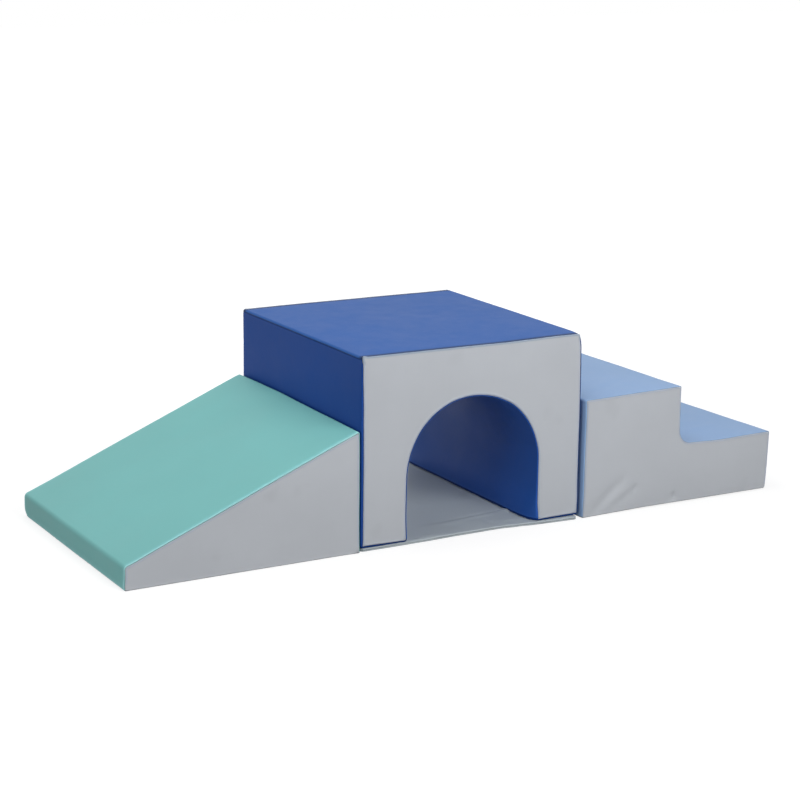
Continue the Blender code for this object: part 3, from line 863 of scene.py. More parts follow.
def fill_loop(loop, grid):
    """Points on a grid inside a loop, and the triangles that fill the loop with them."""
    corners = as_array(loop)
    spots = lattice(corners, grid)
    gaps, _, inside = loop_distance(spots, corners)
    inner = [Vector(spot) for spot in spots[inside & (gaps > grid / 2)]]
    _, triangles, sources = triangulate(list(loop) + inner, len(loop))
    return inner, [[sources[k][0] for k in face] for face in triangles]


def ring_faces(rings, count):
    """The quads between rings of count points each."""
    faces = []
    for low in range(0, (rings - 1) * count, count):
        for k in range(count):
            after = (k + 1) % count
            faces.append((low + k, low + count + k, low + count + after, low + after))
    return faces


def finish_foam(name, positions, faces, body, node):
    foam = make_object(name, positions, faces)
    dress(foam, foam_finish, body, node)


def foam_core(block, zips):
    """The foam inside a block: one closed form, drawn through a row of rings."""
    outline = block.outline
    trench_edges = []
    for corner, middle in zips:
        base = block.base_offset(corner)
        for edge in (TRENCH_HALF, TRENCH_HALF + TRENCH_SLOPE):
            trench_edges += [base + middle - edge, base + middle + edge]
    stations = outline.stations(FOAM_GRID, trench_edges)
    floor = outline.at(outline.arc_end[0])[0].y
    front = block.front.level + FOAM_INSET
    rear = block.rear.level - FOAM_INSET
    bend = ((FOAM_ROUND, 0.0), (FOAM_BEND, FOAM_BEND), (0.0, FOAM_ROUND))
    spans = math.ceil((rear - front) / FOAM_GRID)
    rings = [(tuck, front + step) for tuck, step in bend]
    rings += [(0.0, front + (rear - front) * k / spans) for k in range(1, spans)]
    rings += [(tuck, rear - step) for tuck, step in reversed(bend)]
    positions = []
    for tuck, y in rings:
        loop = outline.inset(stations, FOAM_INSET + tuck)
        for spot in loop:
            for _, middle in zips:
                off = abs(spot.x - middle) - TRENCH_HALF
                if spot.y < floor + 2 * FOAM_INSET and off < TRENCH_SLOPE:
                    spot.y += TRENCH_HEIGHT * min(1.0, 1 - off / TRENCH_SLOPE)
            positions.append(block.warp(Vector((spot.x, y, spot.y))))
    count = len(stations)
    inner, triangles = fill_loop(loop, FOAM_GRID)
    faces = []
    for first, y, turn in ((0, front + FOAM_SINK, 1), (len(positions) - count, rear - FOAM_SINK, -1)):
        places = list(range(first, first + count)) + list(range(len(positions), len(positions) + len(inner)))
        positions += [block.warp(Vector((point.x, y, point.y))) for point in inner]
        faces += [[places[k] for k in triangle[::turn]] for triangle in triangles]
    faces += ring_faces(len(rings), count)
    finish_foam(block.name + "_foam", positions, faces, block.body, block.foam)


# Sewn-on tapes: strips between the blocks, patches between the mat and the tunnel's feet
TAPE_FOLD = 0.0007
TAPE_PLY = 0.0006
TAPE_SEWING = 0.0004
TAPE_DRIFT = 0.00015
HOOK_STRIP_DEPTH = 0.0024
LOOP_STRIP_DEPTH = 0.0026
PATCH_DEPTH = 0.0010


def sewn_tape(node, side, depth, look, body, carrier):
    """A strip of hook or loop tape that faces one side, as far out as its node does."""
    low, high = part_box(node)
    axis, inwards, _ = SIDES[side]
    a, b = [k for k in range(3) if k != axis]
    outline = rectangle(low[a], low[b], high[a], high[b], TAPE_CORNER)
    turned = QUARTER * TAPE_FOLD + depth - TAPE_FOLD
    feel = Feel(crown=0.0, pucker=0.0, drift=TAPE_DRIFT, ridge=-TAPE_SEWING)
    plane = Plane(side, (low if inwards > 0 else high)[axis])
    tape = face_piece(node + "_tape", plane, outline, lambda s: turned, feel, Vector, TAPE_FOLD)
    finish_cover(tape, look, body, node, carrier,
                 thickness=TAPE_PLY)


# Zips
TOOTH_PITCH = 0.0030
TOOTH_LENGTH = 0.0016
TOOTH_INNER = 0.0006
TOOTH_OUTER = 0.0026
TOOTH_OVERLAP = 0.8
TOOTH_SHIFT = {"left": 0.25, "right": 0.75}
TAPE_CLOTH = 0.0005
WEAVE_STEP = 0.0115
TAPE_SWAY = 0.00012
SWAY_LENGTH = 0.02
SWAY_ROWS = 90

# Rows along a tape, in from its edge and out from its teeth, and how much each stands proud
CORD_BEAD = 0.00025
EDGE_ROWS = ((0.0, 0.0), (0.0008, CORD_BEAD), (0.0018, 0.0), (0.0045, 0.0))
CORD_ROWS = ((0.0022, 0.0), (0.0012, CORD_BEAD), (0.0, 0.0))


def add_box(model, low, high):
    corners = [model.verts.new((x, y, z)) for x in (low[0], high[0]) for y in (low[1], high[1])
               for z in (low[2], high[2])]
    for face in ((0, 1, 3, 2), (4, 6, 7, 5), (0, 4, 5, 1), (2, 3, 7, 6), (0, 2, 6, 4), (1, 5, 7, 3)):
        model.faces.new([corners[k] for k in face])


def zip_tape(prefix, side, middle, body):
    """Half a zip: a woven tape that gathers a little along the sewing, with its row of teeth."""
    node = prefix + "_" + side + "_tape"
    low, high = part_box(node)
    outwards = -1 if side == "left" else 1
    outer = abs((low.x if side == "left" else high.x) - middle)
    rows = [(outer - step, bead) for step, bead in EDGE_ROWS]
    rows += [(TOOTH_OUTER + step, bead) for step, bead in CORD_ROWS] + [(TOOTH_INNER, 0.0)]
    length = high.y - low.y
    count = math.ceil(length / WEAVE_STEP)
    last = len(rows) - 1
    model = bmesh.new()
    grid = []
    for k in range(count + 1):
        y = low.y + length * k / count
        line = []
        for row, bead in rows:
            sway = TAPE_SWAY * noise.noise(Vector((middle, y / SWAY_LENGTH, row * SWAY_ROWS)))
            x = middle + outwards * row
            line.append([model.verts.new((x, y, low.z + up * (TAPE_CLOTH + bead) + sway)) for up in (0, 1)])
        grid.append(line)
    for here, ahead in zip(grid, grid[1:]):
        for j in range(last):
            for up in (0, 1):
                model.faces.new([here[j][up], ahead[j][up], ahead[j + 1][up], here[j + 1][up]])
        for j in (0, last):
            model.faces.new([here[j][0], here[j][1], ahead[j][1], ahead[j][0]])
    for line in (grid[0], grid[-1]):
        for j in range(last):
            model.faces.new([line[j][0], line[j][1], line[j + 1][1], line[j + 1][0]])
    left, right = sorted((middle - outwards * TOOTH_INNER * TOOTH_OVERLAP, middle + outwards * TOOTH_OUTER))
    for k in range(math.floor(length / TOOTH_PITCH)):
        y = low.y + (k + TOOTH_SHIFT[side]) * TOOTH_PITCH
        add_box(model, (left, y - TOOTH_LENGTH / 2, low.z + TAPE_CLOTH),
                (right, y + TOOTH_LENGTH / 2, high.z))
    bmesh.ops.recalc_face_normals(model, faces=model.faces)
    mesh = bpy.data.meshes.new(prefix + "_" + side + "_half")
    model.to_mesh(mesh)
    model.free()
    tape = new_object(mesh.name, mesh)
    dress(tape, zip_tape_finish, body, node)


def zip_line(prefix, middle, body):
    """A zip's two tapes; its stops and slider keep their CAD form."""
    for side in ("left", "right"):
        zip_tape(prefix, side, middle, body)
    for part in ("_near_stop", "_far_stop", "_slider"):
        metal = bpy.data.objects[prefix + part]
        metal.data.materials.clear()
        metal.data.materials.append(zinc_finish[0])


# The camera stands where the photograph was taken from
CAMERA_PLACE = Vector((-2.0879, -3.6517, 1.2494))
CAMERA_YAW = math.radians(29.549)
CAMERA_PITCH = math.radians(13.733)
CAMERA_ROLL = math.radians(0.703)
CAMERA_LENS = 93.18
SENSOR_WIDTH = 36.0


def make_camera():
    ahead = Vector((math.sin(CAMERA_YAW) * math.cos(CAMERA_PITCH),
                    math.cos(CAMERA_YAW) * math.cos(CAMERA_PITCH), -math.sin(CAMERA_PITCH)))
    level = Vector((math.cos(CAMERA_YAW), -math.sin(CAMERA_YAW), 0.0))
    upright = level.cross(ahead)
    right = level * math.cos(CAMERA_ROLL) + upright * math.sin(CAMERA_ROLL)
    up = upright * math.cos(CAMERA_ROLL) - level * math.sin(CAMERA_ROLL)
    data = bpy.data.cameras.new("camera")
    data.lens = CAMERA_LENS
    data.sensor_width = SENSOR_WIDTH
    camera = new_object("camera", data)
    turn = Matrix((right, up, -ahead)).transposed()
    camera.matrix_world = Matrix.Translation(CAMERA_PLACE) @ turn.to_4x4()
    bpy.context.scene.camera = camera


# The studio: a pale floor that keeps a soft shadow and turns white away from the object, and its lights
WHITE = (1.0, 1.0, 1.0, 1.0)
FLOOR_HALF = 15.0
FLOOR_GREY = (0.25, 0.25, 0.25, 1.0)
FLOOR_GLOW_NEAR = 0.80
FLOOR_GLOW_FAR = 1.0
GLOW_RANGE = (0.7, 2.2)
WORLD_FILL = 0.20

# Each light's place, the point that it faces, its width and its power
LIGHTS = {
    "key": ((0.1, -1.9, 1.55), (0.0, -0.2, 0.2), 1.0, 27.5),
    "overhead": ((-0.3, 0.3, 2.4), (-0.1, 0.0, 0.1), 1.8, 21.5),
    "rear_fill": ((0.05, 1.9, 1.35), (0.0, 0.15, 0.0), 0.8, 5.0),
    "right_fill": ((1.6, -2.8, 0.9), (0.2, 0.0, 0.15), 1.2, 15.5),
    "left_fill": ((-2.6, -1.0, 0.6), (-0.4, 0.0, 0.1), 1.0, 13.0),
    "back_fill": ((-0.9, 2.4, 0.6), (0.15, 0.1, 0.15), 1.2, 16.5),
}


def seen_or_mirrored(nodes):
    """1 for rays that show the background: the camera's, glossy ones and those through glass."""
    total = nodes.add("LightPath", "Is Camera Ray")
    path = total.node
    for name in ("Is Glossy Ray", "Is Transmission Ray"):
        total = nodes.math('MAXIMUM', total, path.outputs[name])
    return total


def make_stage():
    mesh = bpy.data.meshes.new("floor")
    corners = [(x * FLOOR_HALF, y * FLOOR_HALF, 0.0) for x, y in ((-1, -1), (1, -1), (1, 1), (-1, 1))]
    mesh.from_pydata(corners, [], [(0, 1, 2, 3)])
    new_object("floor", mesh)
    material = bpy.data.materials.new("floor")
    material.use_nodes = True
    nodes = Nodes(material.node_tree)
    nodes.tree.nodes.clear()
    diffuse = nodes.add("BsdfDiffuse", "BSDF", {"Color": FLOOR_GREY})
    away = nodes.add("VectorMath", "Value", {0: nodes.add("TexCoord", "Object")}, operation='LENGTH')
    rise = nodes.span(away, FLOOR_GLOW_NEAR, FLOOR_GLOW_FAR, GLOW_RANGE)
    strength = nodes.math('MULTIPLY', seen_or_mirrored(nodes), rise)
    glow = nodes.add("Emission", "Emission", {"Color": WHITE, "Strength": strength})
    nodes.add("OutputMaterial", inputs={"Surface": nodes.add("AddShader", "Shader", {0: diffuse, 1: glow})})
    mesh.materials.append(material)


def make_world():
    world = bpy.data.worlds.new("studio")
    bpy.context.scene.world = world
    world.use_nodes = True
    nodes = Nodes(world.node_tree)
    nodes.tree.nodes.clear()
    strength = nodes.span(seen_or_mirrored(nodes), WORLD_FILL, 1.0)
    background = nodes.add("Background", "Background", {"Color": WHITE, "Strength": strength})
    nodes.add("OutputWorld", inputs={"Surface": background})


def make_lights():
    for name, (place, aim, size, power) in LIGHTS.items():
        data = bpy.data.lights.new(name, 'AREA')
        data.shape = 'SQUARE'
        data.size = size
        data.energy = power
        light = new_object(name, data)
        light.location = place
        light.rotation_mode = 'QUATERNION'
        light.rotation_quaternion = (Vector(aim) - Vector(place)).to_track_quat('-Z', 'Y')
        light.visible_camera = False
        light.visible_glossy = False


bpy.context.scene.view_settings.view_transform = 'Standard'
make_camera()
make_stage()
make_world()
make_lights()


# The tunnel

# How far the arch's edge stands in from the CAD's: round the arch by angle, down the legs by height
ARCH_DRAW = blend_keys([
    (-30.0, 0.0008), (5.0, 0.0013), (20.0, 0.0025), (50.0, 0.0031), (65.0, 0.0050), (80.0, 0.0056),
    (95.0, 0.0051), (110.0, 0.0038), (140.0, 0.0034), (155.0, 0.0041), (185.0, 0.0036), (210.0, 0.0036)])
LEFT_LEG_DRAW = blend_keys([(0.0068, 0.0044), (0.060, 0.0030), (0.136, 0.0036)])
RIGHT_LEG_DRAW = blend_keys([(0.0068, -0.0023), (0.050, 0.0010), (0.136, 0.0012)])
ARCH_DRAW_REACH = 0.030

# How far the lining bellies into the arch near the floor, and how it fades: in depth, width and height
LEFT_BELLY = 0.0060
RIGHT_BELLY = 0.0165
BELLY_FRONT = 0.015
BELLY_REAR = 0.012
BELLY_WIDTH = 0.020
BELLY_HEIGHT = 0.055

# How far the right edge stands in by height, and the top edge up by place, fading away from the front
RIGHT_DRAW = blend_keys([(0.0, -0.0018), (0.04, -0.0016), (0.09, -0.0006), (0.20, -0.0002), (0.30, 0.0006),
                         (0.3878, 0.0022)])
RIGHT_DRAW_WIDTH = 0.03
RIGHT_DRAW_DEPTH = 0.12
TOP_LIFT = blend_keys([(-0.25, 0.0016), (-0.17, 0.0010), (-0.05, 0.0007), (0.07, -0.0002), (0.187, 0.0012),
                       (0.258, 0.0010)])
TOP_LIFT_REAR = 0.0012
TOP_LIFT_DEPTH = 0.10
TOP_LIFT_HEIGHT = 0.03

# A nub at the top's front left corner and an ear at its right one: where, how wide and how far out
NUB_OFFSET = 0.002
NUB = ((0.005, 0.006, 0.005), Vector((0.0004, -0.0006, 0.0022)))
EAR = ((0.012, 0.020, 0.014), Vector((-0.0040, 0.0, -0.0004)))

# The height where the feet's vinyl ends, how much lower that is on the outer left, and how far down the
# left side and the arch's right leg the search for it starts
FOOT_RIM = 0.0043
OUTER_RIM_DROP = 0.0008
SIDE_START = 0.2
LEG_START = 0.1

# How far round the fold the seams lie: by corner, at its arc's start or end, how far past that, and the reach
TOP_REACH = FOLD_TURN + 0.0010
TUNNEL_SEAMS = (
    (0, 0, -0.02, -0.0034), (0, 0, 0.0, -0.0030), (0, 1, 0.0, -0.0024), (1, 0, 0.0, -0.0008),
    (1, 1, 0.0, -0.0006), (2, 0, 0.0, -0.0004), (3, 1, 0.0, -0.0004), (4, 0, 0.0, -0.0006),
    (4, 1, 0.0, -0.0012), (5, 0, 0.0, -0.0020), (5, 1, 0.0, -0.0008), (5, 1, 0.03, 0.0), (5, 1, 0.20, 0.0),
    (6, 0, -0.01, -0.0006), (6, 1, 0.0, TOP_REACH), (7, 0, -0.01, TOP_REACH), (7, 0, 0.0, TOP_REACH + 0.001),
    (7, 1, 0.0, TOP_REACH * 0.6), (7, 1, 0.012, -0.0010), (7, 1, 0.10, -0.0032), (7, 1, 0.20, -0.0034))
TUNNEL_DRIFT = 0.0010
TUNNEL_FACE = Feel(crown=0.0010, ridge=0.0008)
TUNNEL_TOP = Feel(crown=0.0016, crown_reach=0.05)
TUNNEL_SIDE = Feel(crown=0.0005)
TUNNEL_LINER = Feel(crown=0.0006)
TUNNEL_SOLE = Feel(crown=-0.0004, crown_reach=0.004, pucker=0.0001, drift=0.0)

# A narrower band of painted shade where the top meets the sides than along its front and rear seams
TOP_END_SHARE = 9.0


def arch_draw(centre, spring, radius):
    """Draws the arch's edge in, as the cover's pull does on the foam."""
    def shift(point):
        off = Vector((point.x - centre, 0.0, above(point.z - spring)))
        away = off.length
        if away < SAME_POINT:
            return Vector()
        if point.z > spring:
            amount = ARCH_DRAW(math.degrees(math.atan2(off.z, off.x)))
        else:
            amount = (RIGHT_LEG_DRAW if off.x > 0 else LEFT_LEG_DRAW)(point.z)
        return off / away * -amount * hill(away - radius, ARCH_DRAW_REACH)
    return shift


def build_tunnel():
    foot_low, foot_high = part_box("tunnel_left_foot")
    low, high = span_of("tunnel_front_panel", "tunnel_rear_panel", "tunnel_left_foot", "tunnel_right_foot")
    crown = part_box("tunnel_arch_liner")[1].z - SKIN
    leg = foot_high.x - foot_low.x
    arch = (high.x - low.x) / 2 - leg
    centre = (low.x + high.x) / 2
    # Corners 0 and 1 are the left foot's, 2 and 3 the arch's, 4 and 5 the right foot's, 6 and 7 the top's
    outline = Outline([
        (low.x, low.z, SOLE_CORNER), (low.x + leg, low.z, FOOT_CORNER), (low.x + leg, crown, arch),
        (high.x - leg, crown, arch), (high.x - leg, low.z, SOLE_CORNER), (high.x, low.z, FOOT_CORNER),
        (high.x, high.z, BLOCK_CORNER), (low.x, high.z, BLOCK_CORNER)])
    starts, ends = outline.arc_start, outline.arc_end
    bumps = [(Vector((low.x + NUB_OFFSET, low.y + NUB_OFFSET, high.z)), *NUB),
             (Vector((high.x, low.y, high.z)), *EAR)]

    def narrow_right(point):
        share = fade(abs(high.x - point.x), RIGHT_DRAW_WIDTH) * fade(point.y - low.y, RIGHT_DRAW_DEPTH)
        return Vector((-RIGHT_DRAW(point.z) * share, 0.0, 0.0))

    def lift_top(point):
        near = fade(point.y - low.y, TOP_LIFT_DEPTH)
        lift = TOP_LIFT(point.x) * near + TOP_LIFT_REAR * (1 - near)
        return Vector((0.0, 0.0, lift * hill(high.z - point.z, TOP_LIFT_HEIGHT)))

    def belly(point):
        across = point.x - centre
        most = RIGHT_BELLY if across > 0 else LEFT_BELLY
        deep = 1 - fade(above(point.y - low.y), BELLY_FRONT) - fade(above(high.y - point.y), BELLY_REAR)
        near = hill(abs(across) - arch, BELLY_WIDTH) * hill(point.z, BELLY_HEIGHT)
        return Vector((-math.copysign(most * near * above(deep), across), 0.0, 0.0))

    shifts = [arch_draw(centre, crown - arch, arch), narrow_right, lift_top, belly]
    block = Block("tunnel", outline, low.y, high.y, outline.around(TUNNEL_SEAMS),
                  warp_by(TUNNEL_DRIFT, bumps, shifts))
    middles = {"left": low.x + leg / 2, "right": high.x - leg + leg / 2}
    foam_core(block, [(0, low.x + leg / 2), (4, high.x - leg / 2)])
    face_pair(block, tunnel_grey_vinyl, [TUNNEL_FACE] * 2)
    rim_top = low.z + FOOT_RIM
    left_end = outline.find(ends[7] + SIDE_START, lambda point: point.y < rim_top - OUTER_RIM_DROP)
    inner_left = outline.find(starts[1], lambda point: point.y > rim_top)
    inner_right = outline.find(ends[3] + LEG_START, lambda point: point.y < rim_top)
    outer_right = outline.find(starts[5], lambda point: point.y > rim_top)
    wrap("tunnel_top_vinyl", block, starts[6], ends[7], TUNNEL_TOP, top_vinyl_painted_shade, "tunnel_top_panel",
         end_share=TOP_END_SHARE)
    wrap("tunnel_left_vinyl", block, ends[7], left_end, TUNNEL_SIDE, royal_vinyl_painted_shade, "tunnel_left_panel")
    wrap("tunnel_right_vinyl", block, outer_right, starts[6], TUNNEL_SIDE, royal_vinyl_painted_shade, "tunnel_right_panel")
    wrap("tunnel_liner_vinyl", block, inner_left, inner_right, TUNNEL_LINER, liner_vinyl_painted_light, "tunnel_arch_liner")
    for side, start, stop, corner, patches in (("left", left_end - outline.length, inner_left, 0, (1, 2)),
                                               ("right", inner_right, outer_right, 4, (3, 4))):
        foot = "tunnel_" + side + "_foot"
        wrap(foot + "_vinyl", block, start, stop, TUNNEL_SOLE, sole_vinyl_painted_shade, foot,
             zip_opening(block, corner, middles[side]))
        zip_line("tunnel_" + side + "_zip", middles[side], block.body)
        for height in ("low", "high"):
            sewn_tape("tunnel_" + side + "_loop_strip_" + height, side, LOOP_STRIP_DEPTH, loop_finish,
                      block.body, "tunnel_" + side + "_vinyl")
        for number in patches:
            sewn_tape("tunnel_hook_patch_" + str(number), "bottom", PATCH_DEPTH, hook_finish, block.body,
                      foot + "_vinyl")


# The ramp and the steps, whose covers wrap round three sides and close under the core
SEAM_LAP = 0.004
END_DRIFT = 0.0011
FACE_CROWN = 0.0012
FACE_RIDGE = 0.0004
UPPER_CROWN = 0.0014
UPPER_CROWN_REACH = 0.05
BASE_FEEL = Feel(crown=0.0, pucker=0.0001, drift=0.0)


def dress_end(block, upper, upper_look, relief, strip_side, face_feels, grid=GRID):
    """The panels, foam, zip and hook strips that the ramp and the steps have in common."""
    outline = block.outline
    starts, ends = outline.arc_start, outline.arc_end
    zipper = block.name + "_zip"
    middle = sum(span_of(zipper + "_left_tape", zipper + "_right_tape"), Vector()).x / 2
    foam_core(block, [(0, middle)])
    face_pair(block, grey_vinyl, face_feels, grid)
    upper_name = block.name + "_" + upper
    wrap(upper_name + "_vinyl", block, starts[1] + SEAM_LAP, ends[0] - SEAM_LAP + outline.length,
         Feel(UPPER_CROWN, UPPER_CROWN_REACH, extra=relief), upper_look, upper_name + "_wrap")
    base = block.name + "_base"
    wrap(base + "_vinyl", block, ends[0] - SEAM_LAP, starts[1] + SEAM_LAP, BASE_FEEL, base_vinyl,
         base + "_panel", zip_opening(block, 0, middle))
    zip_line(zipper, middle, block.body)
    for height in ("low", "high"):
        sewn_tape(block.name + "_hook_strip_" + height, strip_side, HOOK_STRIP_DEPTH, hook_finish, block.body,
                  upper_name + "_vinyl")


# The upright end towards the tunnel lies flatter, over this distance
FLAT_END = 0.0012
FLAT_END_REACH = 0.01

# Where the ramp's cover settles: how far each place moves, in metres, and how it fades
RAMP_NEAR = 0.25
TOE_REACH = 0.02
TOE_BULGE = 0.0010
TOE_BULGE_REAR = 0.0026
TOE_BULGE_LOW = 0.0036
TOE_FLARE = 0.0085
FLARE_RUN = 0.9
FLARE_HEIGHT = 0.04
RAMP_SWELL = 0.0020
RAMP_SAG = 0.0010
RAMP_DROP = 0.0018
RAMP_DROP_NEAR = 0.0044
UPRIGHT_LEAN = 0.0018
UPRIGHT_REACH = 0.02
TOE_END = ((0.012, 0.012, 0.012), Vector((0.0030, -0.0030, 0.0035)))
RAMP_SEAMS = (
    (0, 1, 0.0, 0.0020), (1, 0, 0.0, 0.0020), (1, 1, 0.0, 0.0006), (2, 0, -0.02, 0.0004),
    (2, 1, 0.01, -0.0030), (2, 1, 0.30, -0.0026), (3, 0, -0.02, -0.0012), (3, 1, 0.0, 0.0002),
    (0, 0, 0.0, 0.0004))


def build_slide():
    low, high = span_of("slide_front_panel", "slide_rear_panel")
    outline = Outline([
        (low.x, low.z, TOE_SOLE), (high.x, low.z, SOLE_CORNER), (high.x, low.z + RAMP_HEIGHT, BLOCK_CORNER),
        (low.x, low.z + TOE_HEIGHT, TOE_FOLD)])

    def settle(point):
        near = fade(above(point.y - low.y), RAMP_NEAR)
        deep = (point.y - low.y) / (high.y - low.y)
        along = (point.x - low.x) / (high.x - low.x)
        up = point.z / RAMP_HEIGHT
        toe = fade(above(point.x - low.x), TOE_REACH)
        toe_low = hill(point.z, TOE_REACH) * (1 - 0.5 * deep)
        bulge = (TOE_BULGE + TOE_BULGE_REAR * deep + TOE_BULGE_LOW * toe_low) * toe
        flare = TOE_FLARE * fade(above(along), FLARE_RUN) * fade(point.z, FLARE_HEIGHT) * near
        swell = RAMP_SWELL * deep * (1 - along) * min(1.0, point.z / TOE_HEIGHT)
        sag = RAMP_SAG * near * math.sin(math.pi * clamp(along)) * up
        drop = (RAMP_DROP_NEAR * near + RAMP_DROP) * up * along
        lean = UPRIGHT_LEAN * fade(above(high.x - point.x), UPRIGHT_REACH) * near
        return Vector((lean - bulge, -flare - lean, swell - sag - drop))

    def flatter_end(point):
        return -FLAT_END * clamp((point.x - high.x + FLAT_END_REACH) / FLAT_END_REACH)

    toe_end = (Vector((low.x, high.y, low.z)), *TOE_END)
    block = Block("slide", outline, low.y, high.y, outline.around(RAMP_SEAMS),
                  warp_by(END_DRIFT, [toe_end], [settle]))
    dress_end(block, "top", teal_vinyl, flatter_end, "right", [Feel(FACE_CROWN, ridge=FACE_RIDGE)] * 2)


# Where the steps' cover settles: how far each place moves, in metres, and how it fades
STEPS_NEAR = 0.20
HOLLOW_OFFSET = 0.01
HOLLOW_REACH = 0.05
HOLLOW_PUSH = 0.0022
HOLLOW_LIFT = 0.0018
TILT = 0.0046
TILT_START = 0.0018
TILT_REACH = 0.10
END_LEAN = 0.0058
END_LEAN_REACH = 0.05
CORNER_LEAN = 0.0024
CORNER_LEAN_WIDTH = 0.02
CORNER_LEAN_DEPTH = 0.007
RISER_LEAN = 0.0015
RISER_LEAN_REACH = 0.03
TREAD_DIP = 0.0015
TREAD_DIP_PLACE = 0.62
TREAD_DIP_REACH = 0.045
NOSE_DROOP = 0.0030
NOSE_REACH = 0.06
NOSE_DEPTH = 0.12
EDGE_LIFT = 0.0030
EDGE_LIFT_DEPTH = 0.02
EDGE_LIFT_HEIGHT = 0.008
EDGE_LIFT_RUN = 0.15

# Creases in the grey side, then on the upper tread and on the lower one
SIDE_CREASES = (
    (0.2870, 0.0075, 0.3685, 0.0758, -0.0026, 0.012),
    (0.3180, 0.0155, 0.3821, 0.0567, 0.0010, 0.010),
    (0.3408, 0.0145, 0.4029, 0.0497, -0.0012, 0.010),
    (0.3920, 0.0474, 0.3950, 0.0474, -0.0020, 0.008),
    (0.4915, 0.0165, 0.4995, 0.0165, -0.0036, 0.0085))
UPPER_CREASES = (
    (0.284, -0.2275, 0.439, -0.1322, 0.0012, 0.010),
    (0.315, -0.2300, 0.440, -0.1560, -0.0010, 0.008))
LOWER_CREASES = ((0.540, -0.2000, 0.690, -0.1600, 0.0010, 0.012),)
STEPS_FACE_GRID = 0.004
STEPS_SEAMS = (
    (0, 1, 0.0, 0.0020), (1, 0, 0.0, 0.0020), (1, 1, 0.0, 0.0014), (5, 1, -0.01, 0.0014),
    (5, 1, 0.01, -0.0012), (0, 0, -0.06, -0.0008), (0, 0, 0.0, 0.0010))


def build_steps():
    low, high = span_of("steps_front_panel", "steps_rear_panel")
    riser = low.x + UPPER_TREAD
    tread = low.z + LOWER_STEP_HEIGHT
    outline = Outline([
        (low.x, low.z, SOLE_CORNER), (high.x, low.z, SOLE_CORNER), (high.x, tread, STEP_NOSE),
        (riser, tread, STEP_HOLLOW), (riser, high.z, STEP_NOSE), (low.x, high.z, BLOCK_CORNER)])

    def settle(point):
        deep = point.y - low.y
        near = fade(deep, STEPS_NEAR)
        up = min(1.0, point.z / LOWER_STEP_HEIGHT)
        hollow = (hill(point.x - riser - HOLLOW_OFFSET, HOLLOW_REACH)
                  * hill(point.z - LOWER_STEP_HEIGHT, HOLLOW_REACH))
        lean = END_LEAN * fade(above(high.x - point.x), END_LEAN_REACH)
        lean *= math.sqrt(above(point.z) / LOWER_STEP_HEIGHT)
        lean += CORNER_LEAN * fade(above(point.x - low.x), CORNER_LEAN_WIDTH) * fade(deep, CORNER_LEAN_DEPTH)
        lean += RISER_LEAN * hill(point.x - riser, RISER_LEAN_REACH) * min(1.0, point.z / high.z)
        tilt = TILT * (point.x - low.x) / UPPER_TREAD - TILT_START
        dip = TREAD_DIP * hill(point.x - TREAD_DIP_PLACE, TREAD_DIP_REACH) * near
        noses = hill(point.x - riser, NOSE_REACH) + hill(point.x - high.x, NOSE_REACH)
        droop = NOSE_DROOP * noses * (1 - fade(deep, NOSE_DEPTH))
        lift = EDGE_LIFT * fade(deep, EDGE_LIFT_DEPTH) * hill(point.z, EDGE_LIFT_HEIGHT)
        lift *= min(1.0, (point.x - low.x) / EDGE_LIFT_RUN)
        rise = lift + HOLLOW_LIFT * hollow * near + tilt * hill(high.z - point.z, TILT_REACH)
        return Vector((lean * near + HOLLOW_PUSH * hollow, 0.0, rise - (dip + droop) * up))

    upper = folds_along(Plane("top", high.z), UPPER_CREASES)
    lower = folds_along(Plane("top", tread), LOWER_CREASES)

    def tread_relief(point):
        flat_end = FLAT_END * clamp((low.x + FLAT_END_REACH - point.x) / FLAT_END_REACH)
        return upper(point) + lower(point) - flat_end

    block = Block("steps", outline, low.y, high.y, outline.around(STEPS_SEAMS),
                  warp_by(END_DRIFT, shifts=[settle]))
    wrinkles = folds_along(Plane("front", low.y), SIDE_CREASES)
    feels = [Feel(FACE_CROWN, ridge=FACE_RIDGE, extra=extra) for extra in (wrinkles, None)]
    dress_end(block, "tread", sky_vinyl, tread_relief, "left", feels, STEPS_FACE_GRID)


# The mat: its sheets, then its foam, whose edge is bevelled under both
MAT_FOLD = 0.0026
MAT_TOP_SINK = 0.0003
MAT_SEAM_LEVEL = 0.0028
MAT_SEAM_GAP = 0.0002
MAT_SOLE_FOLD = 0.0010
MAT_TOP_GRID = 0.006
MAT_SOLE_GRID = 0.02
MAT_FOAM_INSET = 0.0020
MAT_FOAM_LIFT = 0.0012
MAT_FOAM_SIDE = (0.0028, 0.0036)
MAT_FOAM_DROP = 0.0019
MAT_SOLE_BEVEL = 0.001
MAT_TOP_BEVEL = 0.0016
MAT_PAD_GRID = 0.006
MAT_PAD_SINK = 0.0022

# How far the front edge is pulled back by place, and how that fades
MAT_PULL = blend_keys([(-0.2529, 0.0), (-0.2, 0.0), (-0.11, 0.0010), (-0.02, 0.0045), (0.075, 0.0060),
                       (0.12, 0.0010), (0.16, -0.0045), (0.22, -0.0085), (0.2492, -0.0105)])
MAT_PULL_REACH = 0.045
MAT_SPLAY = 0.0040
MAT_SPLAY_REACH = 0.02
MAT_CREASES = (
    (-0.0134, -0.1884, 0.1330, -0.1700, 0.0020, 0.005),
    (-0.0063, -0.1765, 0.1372, -0.1590, -0.0020, 0.005),
    (0.0702, -0.2001, 0.0683, -0.2535, -0.0014, 0.006),
    (-0.0652, -0.1926, 0.0446, -0.1950, 0.0014, 0.009),
    (0.0200, -0.0600, 0.1426, -0.0665, 0.0012, 0.012),
    (-0.1263, -0.2500, -0.0443, -0.2480, 0.0014, 0.006),
    (0.0900, -0.2250, 0.1430, -0.2300, 0.0016, 0.010),
    (0.1450, -0.1620, 0.1470, -0.1760, 0.0042, 0.010))


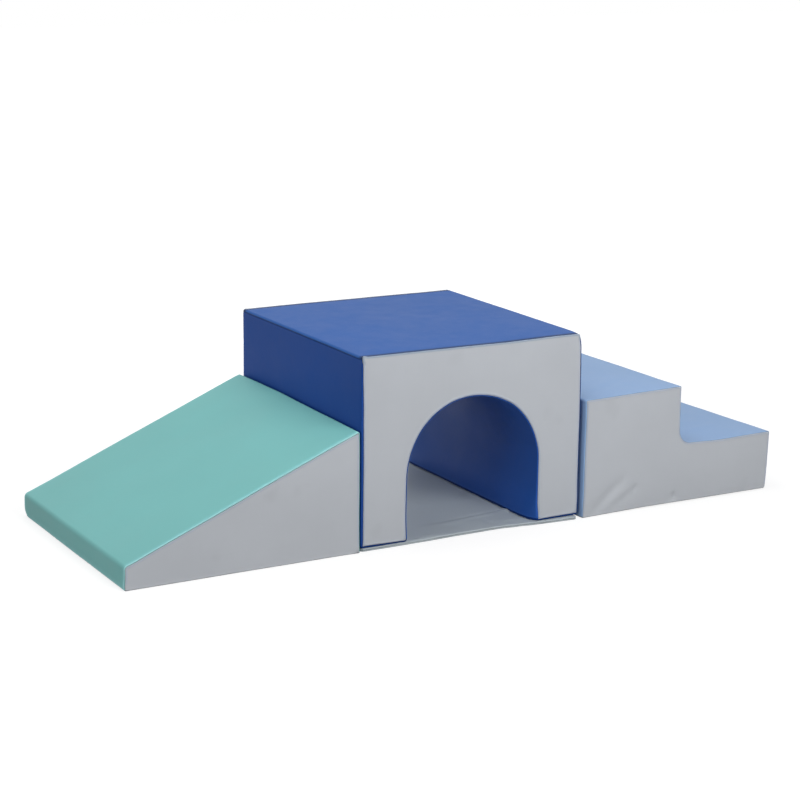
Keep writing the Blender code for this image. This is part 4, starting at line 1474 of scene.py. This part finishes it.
def build_mat():
    low, high = span_of("mat_bottom_sheet", "mat_top_sheet")
    outline = rectangle(low.x, low.y, high.x, high.y, MAT_CORNER)
    body = "mat_unit"

    def edge_pull(point):
        share = fade(above(point.y - low.y), MAT_PULL_REACH)
        splay = fade(above(high.x - point.x), MAT_SPLAY_REACH)
        return Vector((MAT_SPLAY * splay * share, MAT_PULL(point.x) * share, 0.0))

    warp = warp_by(0.0, shifts=[edge_pull])
    creases = folds_along(Plane("top", high.z), MAT_CREASES)
    top_feel = Feel(crown=0.0, pucker=0.0003, drift=0.0, extra=creases)
    sole_feel = Feel(crown=0.0, pucker=0.0, drift=0.0)
    top_reach = QUARTER * MAT_FOLD + high.z - MAT_TOP_SINK - MAT_FOLD - MAT_SEAM_LEVEL
    sole_reach = QUARTER * MAT_SOLE_FOLD + MAT_SEAM_LEVEL - MAT_SEAM_GAP - MAT_SOLE_FOLD
    for side, level, fold, reach, feel, grid in (
            ("top", high.z - MAT_TOP_SINK, MAT_FOLD, top_reach, top_feel, MAT_TOP_GRID),
            ("bottom", low.z, MAT_SOLE_FOLD, sole_reach, sole_feel, MAT_SOLE_GRID)):
        sheet = face_piece("mat_" + side + "_vinyl", Plane(side, level), outline, lambda s: reach, feel, warp,
                           fold, grid)
        finish_cover(sheet, mat_vinyl, body, "mat_" + side + "_sheet", "mat_foam")
    positions = []
    stations = outline.stations(MAT_PAD_GRID)
    count = len(stations)
    rings = ((MAT_FOAM_INSET + MAT_SOLE_BEVEL, low.z + MAT_FOAM_LIFT), (MAT_FOAM_INSET, MAT_FOAM_SIDE[0]),
             (MAT_FOAM_INSET, MAT_FOAM_SIDE[1]), (MAT_FOAM_INSET + MAT_TOP_BEVEL, high.z - MAT_FOAM_DROP))
    for inset, z in rings:
        for s in stations:
            point, normal = outline.at(s)
            spot = point - normal * inset
            positions.append(warp(Vector((spot.x, spot.y, z))))
    inner, triangles = fill_loop([Vector(position[:2]) for position in positions[-count:]], MAT_PAD_GRID)
    for point in inner:
        dent = min(0.0, creases(Vector((point.x, point.y, high.z))))
        positions.append(Vector((point.x, point.y, high.z - MAT_PAD_SINK + dent)))
    faces = [tuple(range(count - 1, -1, -1))]
    faces += [[(len(rings) - 1) * count + k for k in triangle] for triangle in triangles]
    faces += [face[:1] + face[:0:-1] for face in ring_faces(len(rings), count)]
    finish_foam("mat_pad", positions, faces, body, "mat_foam")
    for number in range(1, 5):
        sewn_tape("mat_loop_patch_" + str(number), "top", PATCH_DEPTH, loop_finish, body, "mat_top_vinyl")


build_mat()
build_tunnel()
build_slide()
build_steps()
